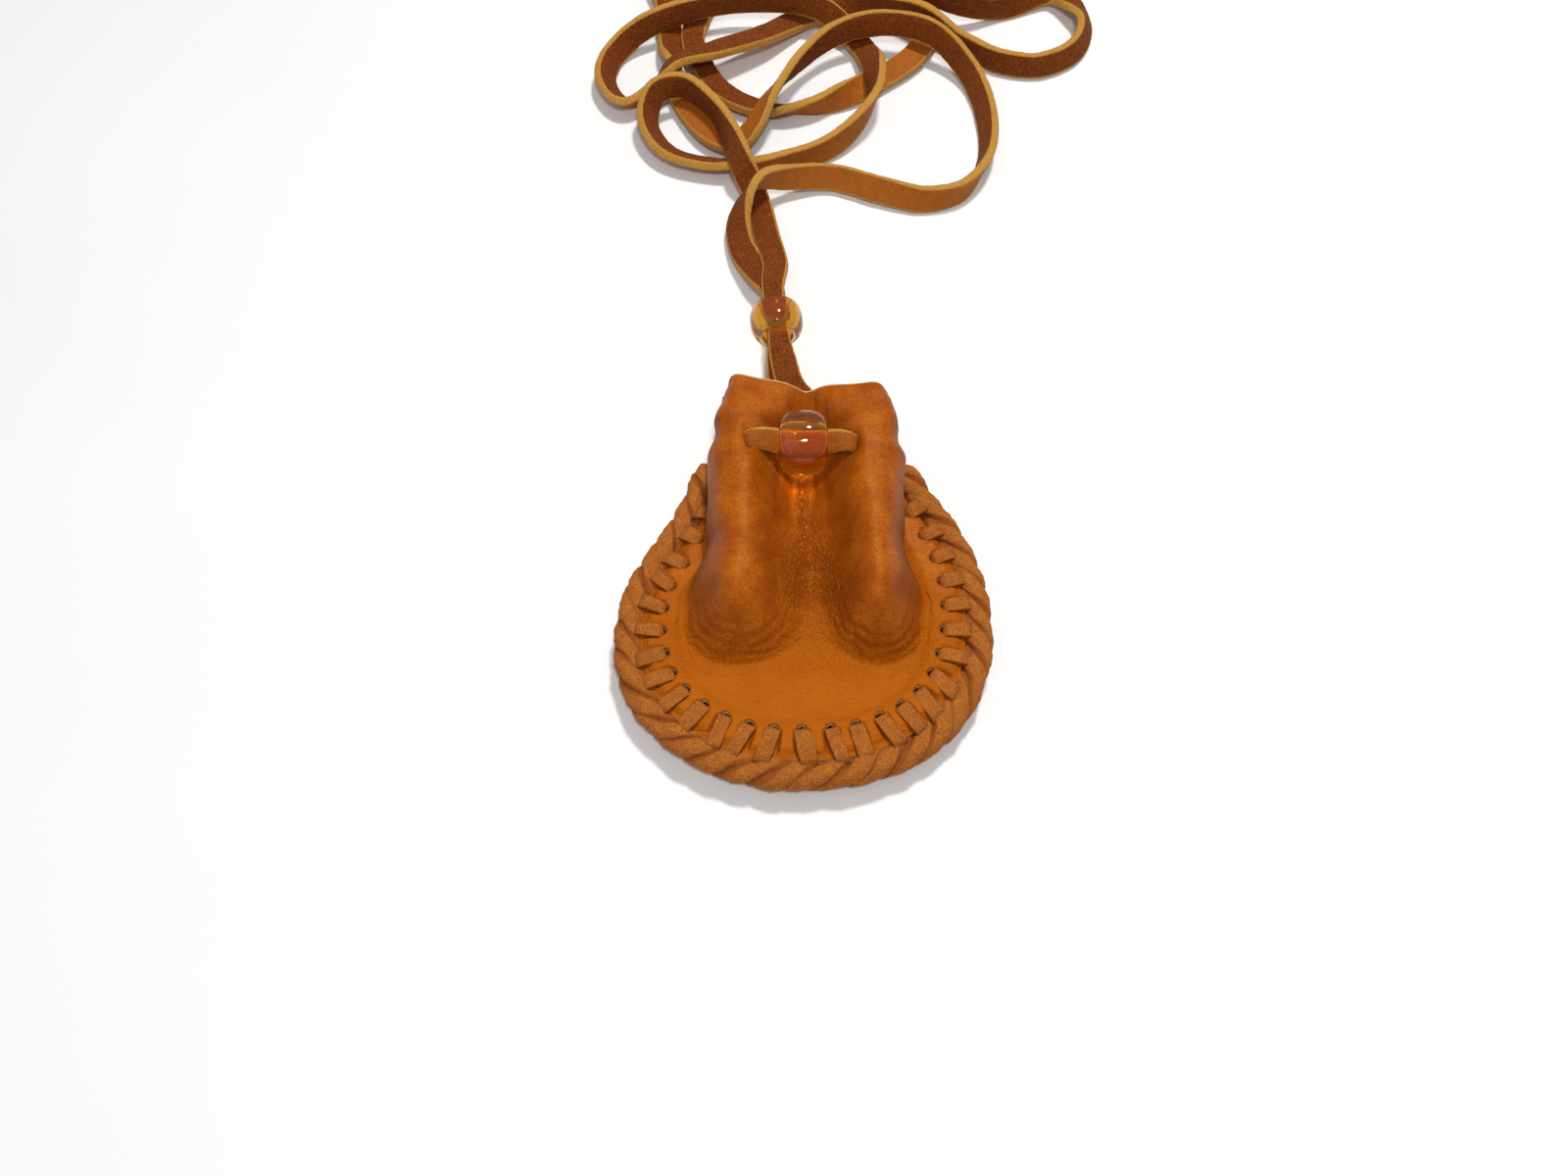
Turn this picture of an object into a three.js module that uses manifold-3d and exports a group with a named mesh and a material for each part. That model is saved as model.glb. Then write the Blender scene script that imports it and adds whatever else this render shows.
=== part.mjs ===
// Hand-laced leather neck pouch, lying on its back with its neck lace loosely looped above it.
// Two leather panels are laced together round a rounded bottom. A flat lace crosses the front
// through a bead, gathers the front panel into two folds, leaves the mouth as two strands,
// passes a slider bead and goes on round the neck to a knot.
// Millimetres: +X to the right of the pouch's face, +Y from its bottom to its mouth, +Z up.

import * as THREE from 'three';
import { mergeVertices } from 'three/addons/utils/BufferGeometryUtils.js';
import Module from 'manifold-3d';

const wasm = await Module();
wasm.setup();

// Driving dimensions
const GAP = 0.3; // clearance between pieces that touch
const LEATHER = 1.2; // panel thickness
const SEAM_UNDERSIDE = 1.7; // height of the back panel's underside along the lacing
const MOUTH_Y = 28.7; // cut edge of the mouth
const MOUTH_HALF_WIDTH = 11.4;
const MOUTH_CENTRE_X = 0.6;
const MOUTH_SLANT = 1.4; // the mouth's left corner is this much further up, and the right one further down
const SIDE_FLARE = 1.0; // how far each panel's free border swings out between the lacing and the mouth
const MOUTH_CURL = 2.5; // rise of both panels' corners at the mouth

const BRAID_RADIUS = 2.0;
const STITCH_COUNT = 27;
const STITCH_WIDTH = 2.4;
const STITCH_THICKNESS = 0.9;

const BEAD_HOLE_RADIUS = 2.2;
const FRONT_BEAD = { radius: 4.5, length: 6.8, x: 0.1, y: 17.7, z: 12.4 };
const SLIDER_BEAD = { radius: 4.0, length: 5.8, x: -3.7, y: 45.5, z: 4.0, tilt: 5 };

const FRONT_LACE = { length: 15.4, width: 3.6, thickness: 1.2 };
const DOUBLED_LACE = { width: 3.0, thickness: 1.1 };
const NECK_LACE_RADIUS = 1.4;
const NECK_LACE_STEPS = 42;
const KNOT_CENTRE = [17.0, 133.2, 4.2];

// Heights that follow from the panels' thickness
const BACK_TOP = SEAM_UNDERSIDE + LEATHER;
const SEAM_TOP = BACK_TOP + GAP + LEATHER;
const BRAID_Z = BACK_TOP + GAP / 2;
const PANEL_INSET = BRAID_RADIUS + GAP;

// Centreline of the braided rim, from the left mouth corner round the bottom to the right one
const RIM = [
  [-13.1, 19.4], [-14.9, 12.8], [-18.2, 6.4], [-21.9, -0.6], [-23.2, -8.5], [-21.3, -16.3],
  [-15.8, -22.6], [-8.3, -26.4], [0.3, -27.3], [8.6, -26.2], [16.0, -22.4], [21.2, -16.0],
  [23.2, -8.2], [22.8, 0.2], [20.3, 7.6], [16.8, 13.8], [13.9, 19.2],
];

// The front panel's two folds and the valley between them, each line as [y, value] stations:
// x in plan, and rise over the seam. A fold's wall stands on its foot, and bulges out over it.
const VALLEY_X = [[-23, 0.3], [-12, 2.0], [3, 1.0], [12, 0.2], [18, 0.1], [MOUTH_Y, MOUTH_CENTRE_X]];
const VALLEY_RISE = [[-16, 0.3], [-5, 1.6], [3, 2.3], [10, 2.2], [18, 1.7], [23.5, 3.7], [MOUTH_Y, 5.3]];
const VALLEY_TIGHTNESS = [[21, 1.0], [25, 2.0], [MOUTH_Y, 3.0]]; // how sharply it is pinched
const LEFT_FOLD = {
  crestX: [[-9, -9.0], [2, -8.2], [12, -8.1], [MOUTH_Y, -8.0]],
  footX: [[-9, -17.8], [-4, -17.0], [5, -12.6], [12, -11.2], [21, -11.0], [MOUTH_Y, -10.4]],
};
const RIGHT_FOLD = {
  crestX: [[-9, 10.2], [2, 9.6], [12, 9.2], [MOUTH_Y, 9.4]],
  footX: [[-9, 18.0], [-4, 17.4], [5, 13.4], [12, 12.2], [22, 12.0], [MOUTH_Y, 12.2]],
};
const CREST_RISE = [[-16, 9.2], [0, 9.4], [18, 9.4], [MOUTH_Y, 7.2]];
const WALL_BULGE = [[2, 0], [13, 2.0], [17, 2.5], [21.5, 1.5], [26, 0.5], [MOUTH_Y, 0]];
const WALL_EASE = [[-6, 0.9], [6, 0]]; // how far the wall eases out into the flat seam, from 0 to 1
const WALL_SQUARENESS = [[16, 1.0], [MOUTH_Y, 0.55]]; // power of the wall's sine and cosine
const FLAT_SHARE = [[10, 0.88], [18, 0.96]]; // the feet stay within this share of the panel's half width
const NOSE = { start: -2.5, length: 10.0, roundness: 0.22 }; // where the folds begin to round down

// The doubled lace inside the mouth and through the slider bead
const LEFT_DRAWSTRING = [
  [-7.9, 17.7, 10.0], [-6.4, 21.0, 9.0], [-4.3, 24.0, 7.7], [-3.1, 27.2, 5.0], [-2.5, 31.0, 3.3],
  [-3.05, 38.0, 3.3], [-3.7, 45.5, 3.3], [-4.25, 52.0, 3.3], [-6.2, 55.4, 3.0],
];
const RIGHT_DRAWSTRING = [
  [8.2, 17.7, 10.2], [7.1, 21.0, 9.2], [5.0, 24.0, 7.4], [2.4, 27.4, 5.5], [-0.4, 30.2, 4.9],
  [-2.4, 33.2, 4.7], [-3.05, 38.0, 4.7], [-3.7, 45.5, 4.7], [-4.25, 52.0, 4.7], [-3.9, 55.4, 4.6],
];

// The two strands of the neck lace, from the slider bead to the knot
const LEFT_STRAND = [
  [-6.7, 56.3, 2.9], [-9.1, 61.5, 2.2], [-9.6, 67.5, 3.0], [-6.6, 72.4, 5.6], [-1.6, 75.2, 3.6],
  [5.0, 76.6, 2.1], [13.0, 73.8, 2.1], [20.0, 71.8, 2.1], [26.2, 73.8, 2.1], [30.4, 81.0, 2.1],
  [31.0, 91.0, 2.1], [28.6, 100.0, 2.8], [22.6, 106.2, 5.4], [14.5, 108.4, 5.6], [6.8, 106.4, 5.4],
  [0.2, 100.4, 4.7], [-4.8, 91.8, 5.1], [-7.6, 86.6, 3.2], [-10.6, 84.2, 1.7], [-14.2, 86.0, 1.6],
  [-19.4, 94.5, 1.6], [-21.8, 105.0, 1.6], [-22.9, 117.0, 1.6], [-24.8, 124.0, 1.9],
  [-23.4, 129.6, 2.1], [-18.4, 131.2, 2.1], [-14.6, 127.6, 2.1], [-15.2, 121.6, 1.9],
  [-17.2, 115.0, 1.6], [-18.2, 108.5, 1.6],
  [-13.4, 97.0, 1.6], [-6.0, 92.4, 1.6], [3.0, 92.8, 1.6], [13.0, 99.0, 1.5], [20.4, 106.0, 1.5],
  [22.2, 113.0, 1.5], [20.4, 121.0, 1.6], [18.8, 128.4, 2.4],
];
const RIGHT_STRAND = [
  [-3.9, 56.5, 4.5], [-5.2, 63.5, 2.4], [-7.0, 72.6, 1.5], [-9.4, 77.2, 4.9], [-11.2, 82.8, 5.3],
  [-14.4, 89.8, 4.9], [-19.2, 94.0, 5.2], [-23.6, 92.6, 5.2], [-25.0, 88.4, 2.9], [-21.6, 82.4, 2.0],
  [-13.0, 79.6, 1.6], [-3.0, 79.8, 1.9], [6.5, 84.2, 2.8], [12.2, 91.6, 4.9], [12.6, 98.6, 5.0],
  [11.0, 106.6, 1.6], [7.6, 110.8, 2.8], [2.6, 112.9, 5.4], [-11.0, 114.2, 5.1],
  [-25.0, 109.6, 4.6], [-31.2, 105.2, 2.2], [-32.6, 98.6, 2.1], [-29.2, 93.4, 2.1],
  [-25.0, 95.1, 2.7], [-20.8, 99.0, 5.5], [-14.0, 102.8, 4.9], [-6.4, 107.6, 3.6],
  [1.0, 114.2, 1.7], [8.5, 117.2, 2.0], [15.6, 114.8, 3.6], [21.6, 111.2, 4.9], [27.5, 107.6, 2.3],
  [34.0, 103.0, 2.1], [41.0, 102.0, 2.1], [47.4, 106.0, 2.1], [49.4, 113.0, 2.1],
  [44.6, 120.2, 2.1], [36.0, 116.4, 2.1], [27.0, 114.4, 4.7], [19.4, 118.6, 4.7],
  [15.2, 128.4, 2.4],
];

// Finishes
const GRAIN_LEATHER = { color: 0xbe6919, roughness: 0.45, metalness: 0 };
const SUEDE_LACE = { color: 0xb4693c, roughness: 0.95, metalness: 0 };
const NECK_LACE = { color: 0xa55a1e, roughness: 0.85, metalness: 0 };
const AMBER = { color: 0xb4500f, roughness: 0.05, metalness: 0, transparent: true, opacity: 0.6 };

const pouch = new THREE.Group();

function addMesh(name, geometry, finish) {
  const mesh = new THREE.Mesh(geometry, new THREE.MeshStandardMaterial(finish));
  mesh.name = name;
  pouch.add(mesh);
  return mesh;
}

// Small geometry helpers

function curveThrough(points, z = 0) {
  const places = points.map((p) => new THREE.Vector3(p[0], p[1], p[2] ?? z));
  return new THREE.CatmullRomCurve3(places, false, 'centripetal');
}

function smoothAlong(stations, y) {
  const next = stations.findIndex(([at]) => at >= y);
  if (next === 0) return stations[0][1];
  if (next < 0) return stations.at(-1)[1];
  const [y0, value0] = stations[next - 1];
  const [y1, value1] = stations[next];
  return THREE.MathUtils.lerp(value0, value1, THREE.MathUtils.smoothstep(y, y0, y1));
}

function ringShape(radius, sides) {
  const corners = [];
  for (let i = 0; i < sides; i += 1) {
    const angle = (2 * Math.PI * (i + 0.5)) / sides;
    corners.push(new THREE.Vector2(radius * Math.cos(angle), radius * Math.sin(angle)));
  }
  return new THREE.Shape(corners);
}

function rectangleShape(width, height) {
  const x = width / 2;
  const y = height / 2;
  return new THREE.Shape([
    new THREE.Vector2(-x, -y), new THREE.Vector2(x, -y), new THREE.Vector2(x, y), new THREE.Vector2(-x, y),
  ]);
}

function sweep(shape, path, steps) {
  return new THREE.ExtrudeGeometry(shape, { extrudePath: path, steps, bevelEnabled: false });
}

function toSolid(geometry) {
  const bare = geometry.clone();
  bare.deleteAttribute('normal');
  bare.deleteAttribute('uv');
  const merged = mergeVertices(bare, 1e-4);
  return new wasm.Manifold(new wasm.Mesh({
    numProp: 3,
    vertProperties: new Float32Array(merged.attributes.position.array),
    triVerts: new Uint32Array(merged.index.array),
  }));
}

function fromSolid(solid) {
  const mesh = solid.getMesh();
  const geometry = new THREE.BufferGeometry();
  geometry.setAttribute('position', new THREE.BufferAttribute(mesh.vertProperties, 3));
  geometry.setIndex(new THREE.BufferAttribute(mesh.triVerts, 1));
  geometry.computeVertexNormals();
  return geometry;
}

function cutBoxes(geometry, boxes) {
  const cutters = boxes.map((box) => toSolid(box));
  return fromSolid(cutters.reduce((solid, cutter) => solid.subtract(cutter), toSolid(geometry)));
}

// The lacing's places along the rim

const rimCurve = curveThrough(RIM, BRAID_Z);
const rimSamples = rimCurve.getSpacedPoints(200);

function rimFrame(fraction) {
  const tangent = rimCurve.getTangentAt(fraction);
  const inward = new THREE.Vector3(-tangent.y, tangent.x, 0);
  return { place: rimCurve.getPointAt(fraction), tangent, inward };
}

function rimDistance(x, y) {
  return Math.min(...rimSamples.map((p) => Math.hypot(p.x - x, p.y - y)));
}

function stitchFractions() {
  const first = 0.06; // the top of each side is braided but hidden by the folds
  return Array.from({ length: STITCH_COUNT }, (_, i) => first + ((1 - 2 * first) * i) / (STITCH_COUNT - 1));
}

function holeOffset(fraction) {
  return 2.9 + 2.5 * Math.sin(Math.PI * fraction) ** 1.5; // deeper round the bottom
}

// Both panels share one outline: u runs from the left edge to the right one, v from the bottom
// to the mouth. Up to SEAM_SHARE the edge follows the rim, and above it runs free to the mouth.
const SEAM_SHARE = 0.84;
const BOTTOM_SHARE = 0.035;

function panelEdge(side, v) {
  const { place, inward } = rimFrame(0.5 + side * 0.5 * Math.min(v / SEAM_SHARE, 1));
  const edge = place.clone().addScaledVector(inward, PANEL_INSET);
  const cornerY = MOUTH_Y - side * MOUTH_SLANT;
  const corner = new THREE.Vector3(MOUTH_CENTRE_X + side * MOUTH_HALF_WIDTH, cornerY, BRAID_Z);
  const free = Math.max(0, (v - SEAM_SHARE) / (1 - SEAM_SHARE));
  edge.lerp(corner, free);
  edge.x += side * SIDE_FLARE * Math.sin(Math.PI * free) ** 2;
  return edge;
}

function mouthCurl(x, y) {
  const across = Math.abs(x - MOUTH_CENTRE_X) / MOUTH_HALF_WIDTH;
  return MOUTH_CURL * THREE.MathUtils.smoothstep(y, 15, MOUTH_Y) * across ** 3;
}

function backUnderside(u, v) {
  const left = panelEdge(-1, v);
  const place = left.lerp(panelEdge(1, v), u);
  const dish = THREE.MathUtils.smoothstep(rimDistance(place.x, place.y), 6, 12);
  const free = THREE.MathUtils.smoothstep(place.y, 13, 24);
  place.z = SEAM_UNDERSIDE * (1 - dish) * (1 - free) + mouthCurl(place.x, place.y);
  return place;
}

// One side's cross-section of the front panel: flat seam, steep outer wall, crest, valley.
// t runs from the panel's edge (0) to the middle of the valley (1).
function foldSection(t, side, edgeX, y) {
  const fold = side < 0 ? LEFT_FOLD : RIGHT_FOLD;
  const nose = Math.max(0, (y - NOSE.start) / -NOSE.length);
  const middle = smoothAlong(VALLEY_X, y);
  const room = smoothAlong(FLAT_SHARE, y) * Math.abs(edgeX - middle);
  const footReach = Math.min(room, Math.abs(smoothAlong(fold.footX, y) - middle));
  const foot = middle + side * footReach;
  const crest = middle + side * Math.min(0.72 * footReach, Math.abs(smoothAlong(fold.crestX, y) - middle));
  const rise = smoothAlong(CREST_RISE, y);
  const valley = smoothAlong(VALLEY_RISE, y) / rise;
  const seamEnd = 0.2;
  const crestAt = 0.58;
  let x = THREE.MathUtils.lerp(edgeX, foot, Math.min(t / seamEnd, 1));
  let profile = 0;
  if (t > seamEnd && t <= crestAt) {
    const share = (t - seamEnd) / (crestAt - seamEnd);
    const power = smoothAlong(WALL_SQUARENESS, y);
    const lean = THREE.MathUtils.degToRad(20) * Math.max(0, 1 - 4 * nose);
    const angle = THREE.MathUtils.lerp(-lean, Math.PI / 2, share);
    const climb = Math.sign(angle) * Math.abs(Math.sin(angle)) ** power;
    const dropped = Math.sin(lean) ** power;
    const bulge = smoothAlong(WALL_BULGE, y) * Math.sin(Math.PI * share);
    const ease = smoothAlong(WALL_EASE, y);
    x = crest + (foot - crest) * (Math.cos(angle) / Math.cos(lean)) ** power + side * bulge;
    x = THREE.MathUtils.lerp(x, THREE.MathUtils.lerp(foot, crest, share), ease);
    profile = (climb + dropped) / (1 + dropped);
    profile = THREE.MathUtils.lerp(profile, (1 - Math.cos(Math.PI * share)) / 2, ease);
  } else if (t > crestAt) {
    const share = (t - crestAt) / (1 - crestAt);
    const dip = (1 + Math.cos(Math.PI * share ** smoothAlong(VALLEY_TIGHTNESS, y))) / 2;
    x = THREE.MathUtils.lerp(crest, middle, share);
    profile = valley + (1 - valley) * dip;
  }
  const kept = Math.max(0, 1 - (nose / Math.max(profile, 1e-6) ** NOSE.roundness) ** 2);
  return { x, rise: rise * profile * kept };
}

function frontOutside(u, v) {
  const left = panelEdge(-1, v);
  const right = panelEdge(1, v);
  const side = u < 0.5 ? -1 : 1;
  const t = u < 0.5 ? 2 * u : 2 - 2 * u;
  const y = THREE.MathUtils.lerp(left.y, right.y, u);
  const section = foldSection(t, side, side < 0 ? left.x : right.x, y);
  return new THREE.Vector3(section.x, y, SEAM_TOP + mouthCurl(section.x, y) + section.rise);
}

// A panel is a box of cells wrapped onto its surface, with its thickness square to the surface
function panelGeometry(surface, columns, rows, thicknessSide) {
  const geometry = new THREE.BoxGeometry(1, 1, 1, columns, rows, 1);
  const position = geometry.attributes.position;
  const step = 1e-3;
  for (let i = 0; i < position.count; i += 1) {
    const u = position.getX(i) + 0.5;
    const v = THREE.MathUtils.lerp(BOTTOM_SHARE, 1, position.getY(i) + 0.5);
    const place = surface(u, v);
    if (position.getZ(i) * thicknessSide > 0) {
      const across = surface(Math.min(u + step, 1), v).sub(surface(Math.max(u - step, 0), v));
      const along = surface(u, Math.min(v + step, 1)).sub(surface(u, Math.max(v - step, 0)));
      place.addScaledVector(across.cross(along).normalize(), thicknessSide * LEATHER);
    }
    position.setXYZ(i, place.x, place.y, place.z);
  }
  return geometry;
}

function stitchSlots() {
  return stitchFractions().map((fraction) => {
    const { place, tangent, inward } = rimFrame(fraction);
    const slot = new THREE.BoxGeometry(STITCH_THICKNESS + 2 * GAP, 12, STITCH_WIDTH + 2 * GAP);
    const centre = place.clone().addScaledVector(inward, holeOffset(fraction));
    const turn = new THREE.Matrix4().makeBasis(inward, new THREE.Vector3(0, 0, 1), tangent);
    return slot.applyMatrix4(turn.setPosition(centre));
  });
}

function frontLaceSlots() {
  return [-1, 1].map((side) => {
    const slot = new THREE.BoxGeometry(4.2, FRONT_LACE.width + 2 * GAP, FRONT_LACE.thickness + 2 * GAP);
    return slot.translate(FRONT_BEAD.x + side * 6.4, FRONT_BEAD.y, FRONT_BEAD.z);
  });
}

// Panels

const backGeometry = panelGeometry(backUnderside, 22, 22, 1);
addMesh('back_panel', cutBoxes(backGeometry, stitchSlots()), GRAIN_LEATHER);

const frontGeometry = panelGeometry(frontOutside, 32, 26, -1);
addMesh('front_panel', cutBoxes(frontGeometry, [...stitchSlots(), ...frontLaceSlots()]), GRAIN_LEATHER);

// Edge lace: the braided rim, and one stitch through both panels at every pair of holes

addMesh('edge_braid', sweep(ringShape(BRAID_RADIUS, 10), rimCurve, 56), SUEDE_LACE);

function stitchGeometry(hole) {
  const start = BRAID_RADIUS - 0.4; // tucked against the braid's upper and lower shoulders
  const near = hole - STITCH_THICKNESS / 2;
  const far = hole + STITCH_THICKNESS / 2;
  const lowInner = SEAM_UNDERSIDE - GAP;
  const highInner = SEAM_TOP + GAP;
  const lowOuter = lowInner - STITCH_THICKNESS;
  const highOuter = highInner + STITCH_THICKNESS;
  const outline = new THREE.Shape([
    new THREE.Vector2(start, lowOuter), new THREE.Vector2(far, lowOuter),
    new THREE.Vector2(far, highOuter), new THREE.Vector2(start, highOuter),
    new THREE.Vector2(start, highInner), new THREE.Vector2(near, highInner),
    new THREE.Vector2(near, lowInner), new THREE.Vector2(start, lowInner),
  ]);
  const geometry = new THREE.ExtrudeGeometry(outline, { depth: STITCH_WIDTH, bevelEnabled: false });
  return geometry.translate(0, 0, -STITCH_WIDTH / 2);
}

stitchFractions().forEach((fraction, i) => {
  const { place, tangent, inward } = rimFrame(fraction);
  const name = `edge_stitch_${String(i + 1).padStart(2, '0')}`;
  const stitch = addMesh(name, stitchGeometry(holeOffset(fraction)), SUEDE_LACE);
  const turn = new THREE.Matrix4().makeBasis(inward, new THREE.Vector3(0, 0, 1), tangent);
  stitch.quaternion.setFromRotationMatrix(turn);
  stitch.position.set(place.x, place.y, 0);
});

// Beads: barrel-shaped, with a wide straight hole

function beadGeometry({ radius, length }) {
  const rows = 10;
  const endRadius = 0.68 * radius;
  const profile = [];
  for (let i = 0; i <= rows; i += 1) {
    const share = (2 * i) / rows - 1;
    const swell = Math.sqrt(1 - Math.abs(share) ** 2.8);
    profile.push(new THREE.Vector2(endRadius + (radius - endRadius) * swell, (length / 2) * share));
  }
  profile.push(new THREE.Vector2(BEAD_HOLE_RADIUS, length / 2));
  profile.push(new THREE.Vector2(BEAD_HOLE_RADIUS, -length / 2));
  profile.push(profile[0].clone());
  return new THREE.LatheGeometry(profile, 24);
}

const frontBead = addMesh('front_bead', beadGeometry(FRONT_BEAD), AMBER);
frontBead.rotation.z = Math.PI / 2;
frontBead.position.set(FRONT_BEAD.x, FRONT_BEAD.y, FRONT_BEAD.z);

const sliderBead = addMesh('slider_bead', beadGeometry(SLIDER_BEAD), AMBER);
sliderBead.rotation.z = THREE.MathUtils.degToRad(SLIDER_BEAD.tilt);
sliderBead.position.set(SLIDER_BEAD.x, SLIDER_BEAD.y, SLIDER_BEAD.z);

// Neck lace: across the front, inside the folds and through the slider bead, then the two strands

const acrossFront = new THREE.BoxGeometry(FRONT_LACE.length, FRONT_LACE.width, FRONT_LACE.thickness);
const frontLace = addMesh('drawstring_front', acrossFront, NECK_LACE);
frontLace.position.set(FRONT_BEAD.x, FRONT_BEAD.y, FRONT_BEAD.z);

const stripShape = rectangleShape(DOUBLED_LACE.thickness, DOUBLED_LACE.width);
addMesh('drawstring_left', sweep(stripShape, curveThrough(LEFT_DRAWSTRING), 28), NECK_LACE);
addMesh('drawstring_right', sweep(stripShape, curveThrough(RIGHT_DRAWSTRING), 28), NECK_LACE);

const strandShape = ringShape(NECK_LACE_RADIUS, 8);
addMesh('neck_lace_left', sweep(strandShape, curveThrough(LEFT_STRAND), NECK_LACE_STEPS), NECK_LACE);
addMesh('neck_lace_right', sweep(strandShape, curveThrough(RIGHT_STRAND), NECK_LACE_STEPS), NECK_LACE);

// The knot that joins the lace's two ends, with the ends standing out of it
const knot = addMesh('neck_knot', new THREE.SphereGeometry(4.1, 14, 10), NECK_LACE);
knot.scale.set(1.2, 1.0, 0.95);
knot.position.set(...KNOT_CENTRE);

[-1, 1].forEach((side) => {
  const name = side < 0 ? 'knot_tail_left' : 'knot_tail_right';
  const tail = addMesh(name, new THREE.BoxGeometry(1.4, 11, 3.8), NECK_LACE);
  tail.rotation.z = -side * 0.32;
  tail.position.set(KNOT_CENTRE[0] + side * 4.0, KNOT_CENTRE[1] + 9.4, 2.1);
});

export default pouch;
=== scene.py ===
"""Hand-laced leather neck pouch: its looks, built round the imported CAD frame.

Metres, in the CAD frame: +X to the right of the pouch's face, +Y from its bottom to its mouth, +Z up.
"""

import math

import bpy
import numpy as np
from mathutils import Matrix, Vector


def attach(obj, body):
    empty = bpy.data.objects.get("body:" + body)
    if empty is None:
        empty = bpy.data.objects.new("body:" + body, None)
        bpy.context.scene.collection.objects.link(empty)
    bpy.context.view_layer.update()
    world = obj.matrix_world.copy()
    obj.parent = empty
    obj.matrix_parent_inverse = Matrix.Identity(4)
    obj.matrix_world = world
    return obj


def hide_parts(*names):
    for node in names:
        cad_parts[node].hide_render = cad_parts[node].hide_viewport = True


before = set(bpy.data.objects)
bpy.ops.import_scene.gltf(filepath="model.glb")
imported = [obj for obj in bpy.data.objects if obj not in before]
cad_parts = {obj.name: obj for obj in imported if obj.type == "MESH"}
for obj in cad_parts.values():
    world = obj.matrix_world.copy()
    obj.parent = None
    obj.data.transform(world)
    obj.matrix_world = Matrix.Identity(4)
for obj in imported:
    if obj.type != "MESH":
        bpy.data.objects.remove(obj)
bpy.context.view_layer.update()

MM = 0.001
UP = np.array([0.0, 0.0, 1.0])

# Panels and seam, as in the CAD part
LEATHER = 1.2 * MM
GAP = 0.3 * MM
SEAM_UNDERSIDE = 1.7 * MM
BACK_TOP = SEAM_UNDERSIDE + LEATHER
SEAM_TOP = BACK_TOP + GAP + LEATHER
BRAID_Z = BACK_TOP + GAP / 2
PANEL_INSET = 2.3 * MM
TUCK = 0.9 * MM  # how much further the leather runs under the braid than in the CAD part
MOUTH = 28.7  # mm
MOUTH_Y = MOUTH * MM
MOUTH_HALF_WIDTH = 11.4 * MM
MOUTH_CURL = 2.5 * MM
MOUTH_CENTRE_X = 0.6 * MM
MOUTH_SLANT = 1.4 * MM
SIDE_FLARE = 1.0 * MM
SEAM_SHARE = 0.84  # share of a panel's side that lies along the braid, from the bottom up
BOTTOM_SHARE = 0.035  # share of the sides below the panels' first row
RIM = MM * np.array([
    [-13.1, 19.4], [-14.9, 12.8], [-18.2, 6.4], [-21.9, -0.6], [-23.2, -8.5], [-21.3, -16.3],
    [-15.8, -22.6], [-8.3, -26.4], [0.3, -27.3], [8.6, -26.2], [16.0, -22.4], [21.2, -16.0],
    [23.2, -8.2], [22.8, 0.2], [20.3, 7.6], [16.8, 13.8], [13.9, 19.2],
])

# The two folds and the valley between them, by y, as in the CAD part
VALLEY_X = MM * np.array([[-23, 0.3], [-12, 2.0], [3, 1.0], [12, 0.2], [18, 0.1], [MOUTH, 0.6]])
VALLEY_RISE = MM * np.array([
    [-16, 0.3], [-5, 1.6], [3, 2.3], [10, 2.2], [18, 1.7], [23.5, 3.7], [MOUTH, 5.3],
])
VALLEY_TIGHTNESS = np.array([[21 * MM, 1.0], [25 * MM, 2.0], [MOUTH_Y, 3.0]])
LEFT_CREST_X = MM * np.array([[-9, -9.0], [2, -8.2], [12, -8.1], [MOUTH, -8.0]])
LEFT_FOOT_X = MM * np.array([[-9, -17.8], [-4, -17.0], [5, -12.6], [12, -11.2], [21, -11.0], [MOUTH, -10.4]])
RIGHT_CREST_X = MM * np.array([[-9, 10.2], [2, 9.6], [12, 9.2], [MOUTH, 9.4]])
RIGHT_FOOT_X = MM * np.array([[-9, 18.0], [-4, 17.4], [5, 13.4], [12, 12.2], [22, 12.0], [MOUTH, 12.2]])
CREST_RISE = MM * np.array([[-16, 9.2], [0, 9.4], [18, 9.4], [MOUTH, 7.2]])
WALL_BULGE = MM * np.array([[2, 0], [13, 2.0], [17, 2.5], [21.5, 1.5], [26, 0.5], [MOUTH, 0]])
WALL_EASE = np.array([[-6 * MM, 0.9], [6 * MM, 0.0]])
WALL_SQUARENESS = np.array([[16 * MM, 1.0], [MOUTH_Y, 0.7]])
FLAT_SHARE = np.array([[10 * MM, 0.88], [18 * MM, 0.96]])
NOSE_START = -2.5 * MM  # below it the folds round off to nothing
NOSE_LENGTH = 10.0 * MM
NOSE_ROUNDNESS = 0.22
SEAM_END = 0.2
CREST_AT = 0.58
CREST_REACH = 0.72  # of the way from the valley to the foot, at most
WALL_OVERHANG = 20  # degrees
FILLET = 0.5 * MM  # eases the folds into the seam

# Edge lacing
STITCH_COUNT = 27
FIRST_STITCH = 0.06  # share of the rim before the first stitch
STITCH_WIDTH = 2.5 * MM
STITCH_THICKNESS = 0.9 * MM
STRAND_COUNT = 3
STRAND_WIDTH = 2.45 * MM
STRAND_THICKNESS = 1.5 * MM

# Neck lace, a flat strip
LACE_WIDTH = 4.2 * MM
LACE_THICKNESS = 1.45 * MM
KNOT_CENTRE = MM * np.array([17.0, 133.2, 4.2])
FRONT_HOLES = MM * np.array([[-7.2, 17.9], [6.6, 17.6]])

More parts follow.
